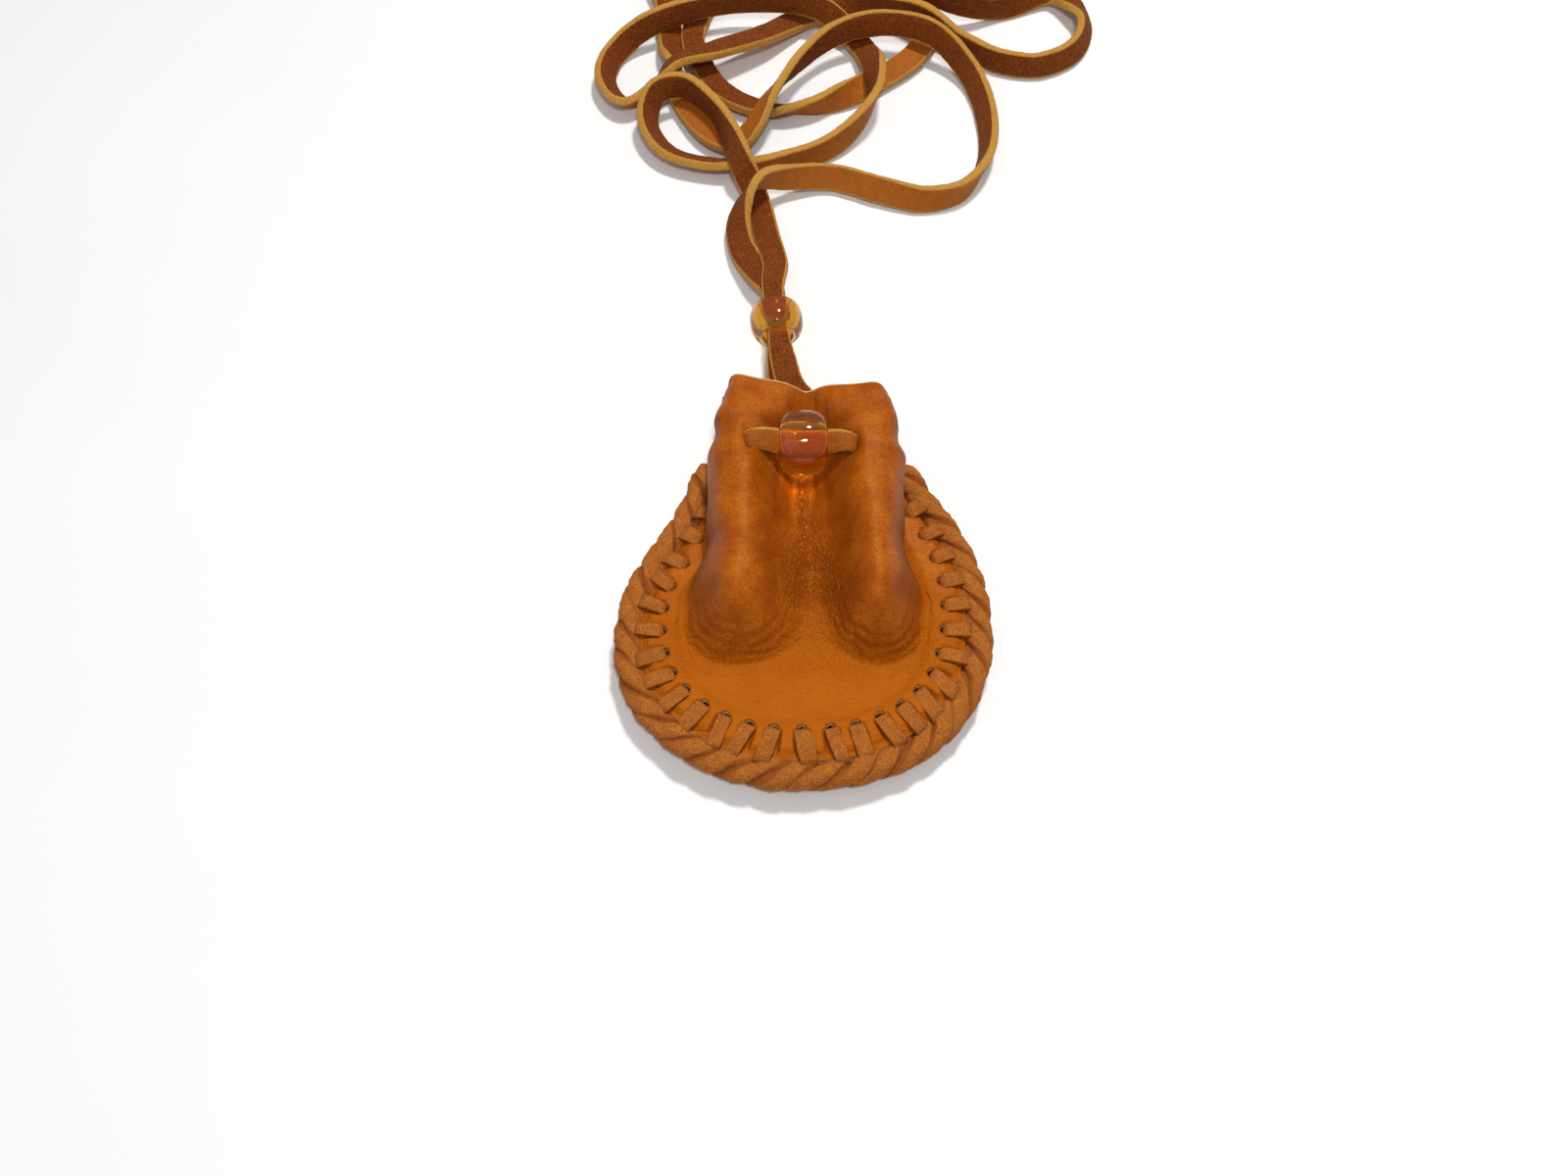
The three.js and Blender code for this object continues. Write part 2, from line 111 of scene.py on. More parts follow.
# Beads: centre, axis, radius and length
BEAD_HOLE = 2.2 * MM
FRONT_BEAD = (MM * np.array([0.1, 17.7, 12.4]), (1, 0, 0), 4.5 * MM, 6.8 * MM)
SLIDER_LEAN = math.radians(5)
SLIDER_AXIS = (-math.sin(SLIDER_LEAN), math.cos(SLIDER_LEAN), 0)
SLIDER_BEAD = (MM * np.array([-3.7, 45.5, 4.0]), SLIDER_AXIS, 4.0 * MM, 5.8 * MM)

# Camera
CAMERA_LENS = 35.33
CAMERA_PLACE = (-0.00254, -0.1023, 0.1877)
CAMERA_HEIGHT = 61  # degrees above the table


def make_camera():
    """A camera at the photograph's viewing angle."""
    data = bpy.data.cameras.new("camera")
    data.lens = CAMERA_LENS
    data.clip_start = 0.01
    camera = bpy.data.objects.new("camera", data)
    camera.location = CAMERA_PLACE
    camera.rotation_euler = (math.radians(90 - CAMERA_HEIGHT), 0, 0)
    bpy.context.scene.collection.objects.link(camera)
    bpy.context.scene.camera = camera


make_camera()


# Curves, noise and mesh helpers

def smoothstep(x, low, high):
    t = np.clip((x - low) / (high - low), 0, 1)
    return t * t * (3 - 2 * t)


def fade(x, low, high):
    return 1 - smoothstep(x, low, high)


def smooth_along(stations, at):
    """Values between (place, value) stations, easing from each one to the next."""
    out = np.full(np.shape(at), stations[0, 1])
    for (a, low), (b, high) in zip(stations[:-1], stations[1:]):
        out = np.where(at >= a, low + (high - low) * smoothstep(at, a, b), out)
    return out


def unit(v):
    return v / np.maximum(np.linalg.norm(v, axis=-1, keepdims=True), 1e-12)


def square_to(run, v):
    """The directions nearest to v that are at right angles to run."""
    return unit(v - (v * run).sum(1)[:, None] * run)


def curve_through(points, per_span=24):
    """(places along a centripetal Catmull-Rom curve through the points, the point number of each place)."""
    p = np.vstack([2 * points[0] - points[1], points, 2 * points[-1] - points[-2]])
    share = np.linspace(0, 1, per_span, endpoint=False)[:, None]
    places = []
    for a, b, c, d in zip(p[:-3], p[1:-2], p[2:-1], p[3:]):
        d0, d1, d2 = (math.sqrt(np.linalg.norm(q - r)) for q, r in ((b, a), (c, b), (d, c)))
        t0 = ((b - a) / d0 - (c - a) / (d0 + d1) + (c - b) / d1) * d1
        t1 = ((c - b) / d1 - (d - b) / (d1 + d2) + (d - c) / d2) * d1
        places.append(b + t0 * share + (3 * (c - b) - 2 * t0 - t1) * share**2
                      + (2 * (b - c) + t0 + t1) * share**3)
    places.append(p[-2][None])
    numbers = np.arange(len(points) * per_span - per_span + 1) / per_span
    return np.vstack(places), numbers


def distance_along(line):
    return np.concatenate([[0], np.cumsum(np.linalg.norm(np.diff(line, axis=0), axis=1))])


def respaced(line, step, *also):
    """The line again with even steps, and the values that go with its places."""
    along = distance_along(line)
    at = np.linspace(0, along[-1], max(3, round(along[-1] / step) + 1))
    new = np.stack([np.interp(at, along, line[:, k]) for k in range(line.shape[1])], axis=1)
    return [new] + [np.interp(at, along, values) for values in also]


def softened(values, width):
    """A list of values smoothed by a bell-shaped moving average, that many values wide each way."""
    kernel = np.hanning(2 * width + 3)[1:-1]
    padded = np.pad(values, width, mode="edge")
    return np.convolve(padded, kernel / kernel.sum(), mode="valid")


CELL_PRIMES = (374761393, 668265263, 2246822519)  # one for each axis of the grid
MIXING = ((13, 1274126177), (15, 2654435761))  # shift and multiplier of each round of the hash
LOW_BITS = 0xFFFFFFFF


def lattice(cells, seed):
    """A repeatable random number from 0 to 1 for each cell of a grid, by an integer hash."""
    n = np.full(cells.shape[:-1], seed * 974711 + 12345, np.uint64)
    for k, prime in zip(range(cells.shape[-1]), CELL_PRIMES):
        n = n + (cells[..., k] & LOW_BITS).astype(np.uint64) * np.uint64(prime)
    n = n & np.uint64(LOW_BITS)
    for shift, multiplier in MIXING:
        n = ((n ^ (n >> np.uint64(shift))) * np.uint64(multiplier)) & np.uint64(LOW_BITS)
    return ((n ^ (n >> np.uint64(16))) & np.uint64(0xFFFFFF)).astype(float) / 0xFFFFFF


def noise(p, size, seed):
    """Smooth noise from -1 to 1 in bumps of about that size, in two or three dimensions."""
    q = p / size
    base = np.floor(q).astype(np.int64)
    f = q - base
    f = f * f * (3 - 2 * f)
    total = 0
    for corner in np.ndindex(*(2,) * q.shape[-1]):
        weight = np.prod(np.where(corner, f, 1 - f), axis=-1)
        total = total + weight * lattice(base + np.array(corner), seed)
    return 2 * total - 1


def rough(p, size, seed):
    """Noise with two layers of finer noise on it, from -1 to 1."""
    return sum(noise(p, size / 2**k, seed + 17 * k) / 2**k for k in range(3)) / 1.75


def crease_cells(p, size, seed):
    """0 on the borders of a flat net of irregular cells, rising to about 1 inside them."""
    q = p / size
    base = np.floor(q).astype(np.int64)
    first = np.full(q.shape[:-1], 9.0)
    second = first.copy()
    for step in np.ndindex(3, 3):
        cell = base + np.array(step) - 1
        middle = cell + np.stack([lattice(cell, seed), lattice(cell, seed + 5)], axis=-1)
        far = np.linalg.norm(middle - q, axis=-1)
        second = np.minimum(second, np.maximum(far, first))
        first = np.minimum(first, far)
    return np.clip((second - first) * 1.8, 0, 1)


def mesh_object(name, points, faces, material, look=None):
    """An object with a smooth mesh of these points and lists of faces, and a look at each point."""
    mesh = bpy.data.meshes.new(name)
    sizes = np.concatenate([np.full(len(f), f.shape[1]) for f in faces])
    corners = np.concatenate([f.ravel() for f in faces])
    used = np.unique(corners)
    renumber = np.zeros(len(points), int)
    renumber[used] = np.arange(len(used))
    mesh.vertices.add(len(used))
    mesh.vertices.foreach_set("co", points[used].ravel())
    mesh.loops.add(len(corners))
    mesh.loops.foreach_set("vertex_index", renumber[corners].astype(np.int32))
    mesh.polygons.add(len(sizes))
    starts = np.cumsum(sizes) - sizes
    mesh.polygons.foreach_set("loop_start", starts.astype(np.int32))
    mesh.update(calc_edges=True)
    mesh.validate()
    mesh.polygons.foreach_set("use_smooth", np.ones(len(mesh.polygons), bool))
    if look is not None:
        layer = mesh.color_attributes.new("look", "FLOAT_COLOR", "POINT")
        channels = np.ones((len(used), 4))
        channels[:, : look.shape[1]] = look[used]
        layer.data.foreach_set("color", channels.ravel())
    mesh.materials.append(material)
    thing = bpy.data.objects.new(name, mesh)
    bpy.context.scene.collection.objects.link(thing)
    return thing


def joined(parts):
    """Several (points, faces, look) put together as one."""
    faces, start = [], 0
    for some_points, some_faces, _ in parts:
        faces += [f + start for f in some_faces]
        start += len(some_points)
    by_size = {}
    for f in faces:
        by_size.setdefault(f.shape[1], []).append(f)
    points, look = (np.vstack([part[k] for part in parts]) for k in (0, 2))
    return points, [np.vstack(f) for f in by_size.values()], look


def add_piece(name, parts, material, nodes, body="pouch"):
    """A piece that rides on a body and stands for CAD nodes, made from (points, faces, look)."""
    points, faces, look = parts
    piece = mesh_object(name, points, faces, material, look)
    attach(piece, body)
    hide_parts(*nodes)
    return piece


# Materials. A mesh's "look" attribute says what its surface is at each point. A strip's channels
# are face (1 grain, 0 suede), cut (1 on a cut edge) and shade (up to 1: painted shade where a
# stitch goes into its hole and comes out of the braid, with a random tone of its own). A panel's are
# painted shade (1 most shaded: in creases, wrinkles and pleats, round holes and slots, on the outer
# walls, and a painted shadow down the valley under the bead), flesh (1 on the flesh side, about 0.35
# on a cut lip), bright (1 on the flat crescent below the folds, which is drawn a more even orange and
# rougher) and crinkled (1 where it is crackled).

def rgba(value):
    """A colour or a grey level with its alpha."""
    return (*value, 1) if hasattr(value, "__len__") else (value, value, value, 1)


class Nodes:
    """Builds one material's node tree."""

    def __init__(self, name):
        self.material = bpy.data.materials.new(name)
        self.material.use_nodes = True
        self.tree = self.material.node_tree
        self.tree.nodes.clear()

    def feed(self, socket, value):
        """Sets a socket to a value, or links another node's output to it."""
        if isinstance(value, bpy.types.NodeSocket):
            self.tree.links.new(value, socket)
        elif socket.type == "RGBA":
            socket.default_value = rgba(value)
        else:
            socket.default_value = value

    def add(self, kind, inputs=None, **settings):
        node = self.tree.nodes.new("ShaderNode" + kind)
        for key, value in settings.items():
            setattr(node, key, value)
        for key, value in (inputs or {}).items():
            self.feed(node.inputs[key], value)
        return node

    def place(self, scale=(1, 1, 1)):
        """Places on the object in millimetres, stretched by scale."""
        where = self.add("TexCoord").outputs["Object"]
        size = tuple(1000 * s for s in scale)
        return self.add("Mapping", {"Vector": where, "Scale": size}).outputs["Vector"]

    def noise(self, scale, detail, where=None, distortion=0.0):
        inputs = {"Scale": scale, "Detail": detail, "Distortion": distortion}
        inputs["Vector"] = where or self.place()
        return self.add("TexNoise", inputs).outputs["Fac"]

    def cells(self, scale, feature="F1", where=None):
        inputs = {"Scale": scale, "Vector": where or self.place()}
        return self.add("TexVoronoi", inputs, feature=feature).outputs["Distance"]

    def ramp(self, fac, *stops):
        """Turns a number into a colour or another number, by two (place, value) stops."""
        node = self.add("ValToRGB", {"Fac": fac})
        for element, (at, value) in zip(node.color_ramp.elements, stops):
            element.position = at
            element.color = rgba(value)
        return node.outputs["Color"]

    def mix(self, fac, a, b):
        """a where fac is 0 and b where it is 1; each is a number, a colour or a socket."""
        node = self.add("Mix", {0: fac, 6: a, 7: b}, data_type="RGBA", clamp_factor=True)
        return node.outputs[2]

    def math(self, operation, *values):
        return self.add("Math", dict(enumerate(values)), operation=operation).outputs[0]

    def look(self):
        """The four channels of the mesh's "look" attribute."""
        attribute = self.add("Attribute", attribute_name="look")
        split = self.add("SeparateColor", {"Color": attribute.outputs["Color"]})
        return (*split.outputs[:3], attribute.outputs["Alpha"])

    def bump(self, height, distance, strength, under=None):
        inputs = {"Height": height, "Distance": distance, "Strength": strength}
        if under is not None:
            inputs["Normal"] = under
        return self.add("Bump", inputs).outputs["Normal"]

    def finish(self, **sockets):
        """The finished material. A shader socket is named with _ for each space."""
        shader = self.add("BsdfPrincipled", {k.replace("_", " "): v for k, v in sockets.items()})
        self.add("OutputMaterial", {"Surface": shader.outputs[0]})
        return self.material


def grain_leather():
    """Golden-tan grain leather with pores and creases, a pale flesh side and cut edge, and painted shade
    where the mesh's look asks for it.
    """
    n = Nodes("grain_leather")
    painted_shade, flesh, bright, crinkled = n.look()
    broad = n.noise(0.22, 4)
    blotch = n.noise(0.75, 5, distortion=0.6)
    fine = n.noise(3.0, 5)
    grain = n.mix(n.ramp(broad, (0.35, 0.0), (0.65, 1.0)), (0.33, 0.068, 0.003), (0.47, 0.118, 0.005))
    grain = n.mix(n.ramp(blotch, (0.48, 0.0), (0.72, 0.5)), grain, (0.24, 0.040, 0.002))
    grain = n.mix(n.ramp(fine, (0.38, 0.42), (0.56, 0.0)), grain, (0.20, 0.034, 0.002))
    grain = n.mix(n.ramp(n.cells(2.6), (0.06, 0.5), (0.22, 0.0)), grain, (0.15, 0.024, 0.002))
    grain = n.mix(n.math("MULTIPLY", bright, 0.8), grain, (0.44, 0.104, 0.002))
    # painted shade: a deep red-brown mixed in where the look's first channel asks for shade
    grain = n.mix(n.ramp(painted_shade, (0.0, 0.0), (1.0, 0.92)), grain, (0.085, 0.012, 0.001))
    nap = n.noise(9.0, 3)
    suede = n.mix(nap, (0.27, 0.12, 0.04), (0.50, 0.27, 0.10))
    edge = n.mix(nap, (0.52, 0.30, 0.11), (0.75, 0.50, 0.22))
    is_flesh = n.ramp(flesh, (0.55, 0.0), (0.8, 1.0))
    is_edge = n.ramp(flesh, (0.05, 0.0), (0.2, 1.0))
    colour = n.mix(is_flesh, n.mix(is_edge, grain, edge), suede)
    warp = n.add("TexNoise", {"Vector": n.place(), "Scale": 1.8}).outputs["Color"]
    warped = n.add("VectorMath", {0: n.place((1, 0.7, 1)), 1: warp}, operation="ADD").outputs[0]
    net = n.ramp(n.cells(1.9, "DISTANCE_TO_EDGE", warped), (0.0, 0.0), (0.2, 1.0))
    wrinkle = n.noise(2.8, 4, n.place((0.35, 1.4, 1.0)), 0.5)
    normal = n.bump(n.noise(6.0, 4), 0.00012, n.ramp(bright, (0.2, 0.6), (0.7, 0.3)))
    normal = n.bump(wrinkle, 0.00025, n.ramp(bright, (0.2, 0.26), (0.7, 0.75)), normal)
    normal = n.bump(net, 0.0003, n.math("MULTIPLY_ADD", crinkled, 0.65, 0.03), normal)
    gloss = n.mix(bright, n.ramp(fine, (0.3, 0.19), (0.7, 0.31)), 0.62)
    gloss = n.mix(n.math("MULTIPLY", painted_shade, 1.4), gloss, 0.6)
    return n.finish(Base_Color=colour, Roughness=n.mix(is_edge, gloss, 0.85), Normal=normal, IOR=1.37,
                    Specular_IOR_Level=0.5, Specular_Tint=(1.0, 0.50, 0.18))


def strip_leather(name, grain_colours, suede_colours, cut_edge_and_groove_shade, nap_scale):
    """A cut lace: smooth grain on one face, napped suede on the other and cut edges in their own colours,
    pale on the neck lace and deep brown on the edge lace, where that brown is painted shade in the grooves
    between strands.
    """
    n = Nodes(name)
    face, cut, shade, _ = n.look()
    nap = n.noise(nap_scale, 4)
    mottled = n.noise(0.8, 3)
    tuft = n.noise(nap_scale * 2.2, 2)
    grain = n.mix(mottled, *grain_colours)
    grain = n.mix(n.ramp(nap, (0.45, 0.0), (0.75, 0.4)), grain, suede_colours[0])
    suede = n.mix(n.ramp(nap, (0.3, 0.0), (0.7, 1.0)), *suede_colours)
    suede = n.mix(n.ramp(mottled, (0.35, 0.35), (0.6, 0.0)), suede, suede_colours[0])
    edge = n.mix(n.ramp(tuft, (0.3, 0.0), (0.7, 1.0)), *cut_edge_and_groove_shade)
    fray = n.math("MULTIPLY_ADD", n.math("SUBTRACT", nap, 0.5), 0.7, face)
    colour = n.mix(n.ramp(fray, (0.42, 0.0), (0.58, 1.0)), suede, grain)
    frayed_cut = n.math("MULTIPLY_ADD", n.math("SUBTRACT", tuft, 0.5), 0.8, cut)
    colour = n.mix(n.ramp(frayed_cut, (0.4, 0.0), (0.62, 1.0)), colour, edge)
    # painted shade where a stitch goes into its hole and out of the braid, with each stitch's random tone,
    # from the look's third channel
    colour = n.mix(shade, colour, tuple(c * 0.25 for c in suede_colours[0]))
    normal = n.bump(tuft, 0.00012, 0.6)
    normal = n.bump(nap, 0.00025, 0.5, normal)
    roughness = n.mix(n.ramp(face, (0.4, 0.0), (0.6, 1.0)), 0.95, 0.62)
    return n.finish(Base_Color=colour, Roughness=roughness, Normal=normal, Specular_IOR_Level=0.12,
                    Sheen_Weight=0.04, Sheen_Roughness=0.5, Sheen_Tint=(1.0, 0.62, 0.4))


def amber_glass():
    """Transparent amber bead, with faint streaks and a hand-worn surface."""
    n = Nodes("amber_glass")
    streak = n.noise(0.35, 3, n.place((0.4, 1, 1)), 1.0)
    colour = n.mix(streak, (0.54, 0.23, 0.012), (0.69, 0.33, 0.026))
    wear = n.ramp(n.noise(3.0, 5), (0.45, 0.01), (0.8, 0.04))
    normal = n.bump(n.noise(1.2, 3), 0.00003, 0.4)
    return n.finish(Base_Color=colour, Roughness=wear, Normal=normal, IOR=1.5, Transmission_Weight=0.95)


def table_top():
    """Plain pale table, very slightly uneven in tone."""
    n = Nodes("table_top")
    tone = n.noise(0.02, 2)
    return n.finish(Base_Color=n.mix(tone, (0.86, 0.86, 0.85), (0.90, 0.90, 0.89)), Roughness=0.7)


GRAIN_LEATHER = grain_leather()
NECK_LACE = strip_leather(
    "neck_lace", ((0.33, 0.088, 0.007), (0.46, 0.135, 0.012)), ((0.105, 0.021, 0.003), (0.27, 0.066, 0.008)),
    ((0.36, 0.155, 0.02), (0.64, 0.33, 0.07)), 3.2)
# The edge lace's cut edges are deep brown: painted shade in the grooves between the plait's strands and
# along the stitches' borders.
EDGE_LACE = strip_leather(
    "edge_lace", ((0.40, 0.115, 0.02), (0.52, 0.17, 0.03)), ((0.25, 0.066, 0.009), (0.58, 0.190, 0.029)),
    ((0.15, 0.034, 0.004), (0.40, 0.115, 0.016)), 4.5)
AMBER = amber_glass()


# Strips of lace

SIDE_STEPS = 7  # places across each face of a strip


def strip_section():
    """A rounded rectangle from -1 to 1 each way: places, and whether each is on the cut edge."""
    wide, tall = 0.22, 0.45  # size of a rounded corner
    turn = np.linspace(0, math.pi / 2, 4)[1:-1]
    top = [(x, 1.0, 0.0) for x in np.linspace(-1 + wide, 1 - wide, SIDE_STEPS)]
    right = [(1 - wide + wide * math.sin(a), math.cos(a) * tall + (1 - tall), 0.6) for a in turn]
    right += [(1.0, tall, 1.0), (1.0, -tall, 1.0)]
    right += [(x, -y, c) for x, y, c in right[1::-1]]
    half = top + right
    return np.array(half + [(-x, -y, c) for x, y, c in half])


SECTION = strip_section()


def strip(line, across, normal, width, thickness, seed, cup=0.0, fuzz=0.05 * MM, shade=None, flip=False):
    """A closed strip swept along a line: (points, faces, look). Its grain side faces along normal, or
    away from it with flip."""
    count, ring = len(line), len(SECTION)
    side, face, cut = SECTION.T
    along = np.stack([distance_along(line), np.zeros(count)], axis=1)
    width = width * (1 + 0.035 * noise(along, 9 * MM, seed) + 0.02 * noise(along, 3 * MM, seed + 1))
    x = side * width[:, None] / 2
    y = face * thickness / 2 + cup * (side**2 - 0.4)
    points = line[:, None] + x[..., None] * across[:, None] + y[:, None] * normal[:, None]
    out = unit(side[:, None] ** 3 * across[:, None] + face[:, None] * normal[:, None])
    points = points + out * (fuzz * rough(points, 0.7 * MM, seed + 2))[..., None]
    points = points + out * (0.5 * fuzz * noise(points, 2.4 * MM, seed + 3))[..., None]
    index = np.arange(count * ring).reshape(count, ring)
    nxt = np.roll(index, -1, axis=1)
    quads = np.stack([index[:-1], index[1:], nxt[1:], nxt[:-1]], axis=-1).reshape(-1, 4)
    end = index.size  # the number of the point in the middle of the first end
    caps = np.concatenate([
        np.stack([np.full(ring, end), index[0], nxt[0]], axis=-1),
        np.stack([np.full(ring, end + 1), nxt[-1], index[-1]], axis=-1),
    ])
    look = np.zeros((count, ring, 3))
    look[..., 0] = 0.5 + (-0.5 if flip else 0.5) * np.clip(face * 1.3, -1, 1)
    look[..., 1] = cut
    if shade is not None:
        look[..., 2] = shade[:, None]
    look = np.vstack([look.reshape(-1, 3), [[0.5, 1, 0]] * 2])
    return np.vstack([points.reshape(-1, 3), line[0], line[-1]]), [quads, caps], look


def leaning(line, lean):
    """(across, normal) of a strip that leans by so many degrees from standing on edge. Its grain side
    faces right of the way that it runs, and turns upward as the lean grows."""
    run = unit(np.gradient(line, axis=0))
    side = unit(np.cross(run, UP))
    rise = np.cross(side, run)
    angle = np.radians(lean)[:, None]
    return np.cos(angle) * rise - np.sin(angle) * side, np.cos(angle) * side + np.sin(angle) * rise


# Neck lace: x, y, z and lean at each point, from inside the fold to the knot

LEFT_LACE = [
    (-7.9, 17.7, 10.0, -60), (-6.4, 21.0, 9.0, -70), (-4.3, 24.0, 7.7, -80), (-3.3, 27.2, 5.0, -88),
    (-2.9, 31.0, 3.3, -92), (-3.2, 38.0, 3.3, -92), (-3.7, 45.5, 3.3, -92), (-4.25, 52.0, 3.3, -90),
    (-6.2, 55.4, 3.0, -80), (-6.7, 56.3, 2.9, -78), (-9.1, 61.5, 2.2, -68), (-9.6, 67.5, 3.0, -55),
    (-6.6, 72.4, 5.6, -15), (-1.6, 75.2, 3.6, 20), (5.0, 76.6, 2.1, 38), (13.0, 73.8, 2.1, 40),
    (20.0, 71.8, 2.1, 20), (26.2, 73.8, 2.1, 0), (30.4, 81.0, 2.1, -25), (31.0, 91.0, 2.1, -33),
    (28.6, 100.0, 2.8, -30), (22.6, 106.2, 5.4, -25), (14.5, 108.4, 5.6, -25), (6.8, 106.4, 5.4, -18),
    (0.2, 100.4, 4.7, 5), (-4.8, 91.8, 5.1, 38), (-7.6, 86.6, 3.2, 62), (-10.6, 84.2, 1.7, 76),
    (-14.2, 86.0, 1.6, 84), (-19.4, 94.5, 1.6, 100), (-21.8, 105.0, 1.6, 240), (-22.9, 117.0, 1.6, 266),
    (-24.8, 124.0, 1.9, 225), (-23.4, 129.6, 2.1, 185), (-18.4, 131.2, 2.1, 180), (-14.6, 127.6, 2.1, 190),
    (-15.2, 121.6, 1.9, 235), (-17.2, 115.0, 1.6, 270),
    (-18.2, 108.5, 1.6, 272), (-13.4, 97.0, 1.6, 278), (-6.0, 92.4, 1.6, 285), (3.0, 92.8, 1.6, 352),
    (13.0, 99.0, 1.5, 435), (20.4, 106.0, 1.5, 445), (22.2, 113.0, 1.5, 450), (20.4, 121.0, 1.6, 450),
    (18.8, 128.4, 2.4, 450),
]
RIGHT_LACE = [
    (8.2, 17.7, 10.2, -60), (7.1, 21.0, 9.2, -70), (5.0, 24.0, 7.4, -80), (2.4, 27.4, 5.5, -88),
    (0.1, 30.2, 4.9, -88), (-1.6, 33.2, 4.7, -88), (-2.7, 38.0, 4.7, -88), (-3.7, 45.5, 4.7, -88),
    (-4.25, 52.0, 4.7, -86), (-3.9, 55.4, 4.6, -84), (-3.9, 56.5, 4.5, -82), (-5.2, 63.5, 2.4, -76),
    (-7.0, 72.6, 1.5, -78), (-9.4, 77.2, 4.9, -48), (-11.2, 82.8, 5.3, -25), (-14.4, 89.8, 4.9, -5),
    (-19.2, 94.0, 5.2, -10), (-23.6, 92.6, 5.2, -25), (-25.0, 88.4, 2.9, -40), (-21.6, 82.4, 2.0, -55),
    (-13.0, 79.6, 1.6, -58), (-3.0, 79.8, 1.9, 5), (6.5, 84.2, 2.8, 15), (12.2, 91.6, 4.9, -15),
    (12.6, 98.6, 5.0, -40), (11.0, 106.6, 1.6, -85), (7.6, 110.8, 2.8, -60), (2.6, 112.9, 5.4, -25),
    (-11.0, 114.2, 5.1, -8), (-25.0, 109.6, 4.6, -15), (-31.2, 105.2, 2.2, -30), (-32.6, 98.6, 2.1, -42),
    (-29.2, 93.4, 2.1, -50), (-25.0, 95.1, 2.7, -5), (-20.8, 99.0, 5.5, -62), (-14.0, 102.8, 4.9, -80),
    (-6.4, 107.6, 3.6, -86), (1.0, 114.2, 1.7, -96), (8.5, 117.2, 2.0, -150), (15.6, 114.8, 3.6, -178),
    (21.6, 111.2, 4.9, -180), (27.5, 107.6, 2.3, -175), (34.0, 103.0, 2.1, -165), (41.0, 102.0, 2.1, -160),
    (47.4, 106.0, 2.1, -160), (49.4, 113.0, 2.1, -150), (44.6, 120.2, 2.1, -70), (36.0, 116.4, 2.1, -10),
    (27.0, 114.4, 4.7, 0), (19.4, 118.6, 4.7, 20), (15.2, 128.4, 2.4, 70),
]
LACE_STEP = 0.45 * MM
TABLE_GAP = 0.05 * MM
SQUEEZED_LENGTH = 60 * MM  # from inside the fold to past the slider bead
# The lace's width by y along that length
WIDTH_BY_Y = MM * np.array([[16, 3.0], [24, 3.4], [30, 4.5], [36, 4.1], [43, 3.1], [49, 3.1], [57, 4.2]])


def lace_route(points):
    """The lace's line, lean and width. The line is raised where the strip would sink in the table."""
    points = np.array(points)
    line, number = curve_through(MM * points[:, :3])
    lean = np.interp(number, range(len(points)), points[:, 3])
    line, lean = respaced(line, LACE_STEP, lean)
    lean = softened(lean, 8)
    angle = np.radians(lean)
    half_height = (LACE_WIDTH * abs(np.cos(angle)) + LACE_THICKNESS * abs(np.sin(angle))) / 2
    sunk = np.maximum(half_height + TABLE_GAP - line[:, 2], 0)
    line[:, 2] += softened(sunk, 6)
    squeezed = np.cumsum(np.linalg.norm(np.gradient(line, axis=0), axis=1)) < SQUEEZED_LENGTH
    width = np.where(squeezed, smooth_along(WIDTH_BY_Y, line[:, 1]), LACE_WIDTH)
    return line, lean, softened(width, 4)


def make_lace(name, points, nodes, seed):
    """One strand of the neck lace, a free cord from its fold to the end knot."""
    line, lean, width = lace_route(points)
    across, normal = leaning(line, lean)
    parts = strip(line, across, normal, width, LACE_THICKNESS, seed, cup=0.12 * MM, fuzz=0.08 * MM)
    piece = add_piece(name, parts, NECK_LACE, nodes)


make_lace("left_lace", LEFT_LACE, ("drawstring_left", "neck_lace_left"), 3)
make_lace("right_lace", RIGHT_LACE, ("drawstring_right", "neck_lace_right"), 4)


def knot_line():
    """An overhand knot: most of a trefoil, open where the lace comes in and the tail goes out."""
    t = np.linspace(-0.72 * math.pi, 0.72 * math.pi, 60)
    return np.stack([
        (np.sin(t) + 1.7 * np.sin(2 * t)) * 1.35,
        (np.cos(t) - 1.7 * np.cos(2 * t)) * 1.15,
        -np.sin(3 * t) * 1.25,
    ], axis=1)


def make_knot():
    """The lace's two ends tied together in one overhand knot, with their tails."""
    parts = []
    for side, seed in ((-1, 21), (1, 22)):
        start = [[1.9 * -side - 0.3, -5.6, -1.9], [1.6 * -side, -3.6, -1.0]]
        tail = [[2.4 * side, 4.2, -0.6], [3.6 * side, 9.0, -1.7], [4.6 * side, 14.6, -2.5]]
        line = np.vstack([start, knot_line()[::-side], tail])
        line, _ = curve_through(MM * line + KNOT_CENTRE, 6)
        (line,) = respaced(line, 0.4 * MM)
        line = np.stack([softened(line[:, k], 3) for k in range(3)], axis=1)
        run = unit(np.gradient(line, axis=0))
        normal = square_to(run, unit(line - KNOT_CENTRE))
        line = line + 0.45 * side * MM * normal
        parts.append(strip(line, np.cross(run, normal), normal, 3.3 * MM, 1.1 * MM, seed))
    points, faces, look = joined(parts)
    points[:, 2] = np.maximum(points[:, 2], TABLE_GAP)
    nodes = ("neck_knot", "knot_tail_left", "knot_tail_right")
    add_piece("end_knot", (points, faces, look), NECK_LACE, nodes)


make_knot()


# Where the rim, the stitches and the panels lie

rim_line = respaced(curve_through(RIM)[0], 0.25 * MM)[0]
rim_share = np.linspace(0, 1, len(rim_line))
rim_run = unit(np.gradient(rim_line, axis=0))


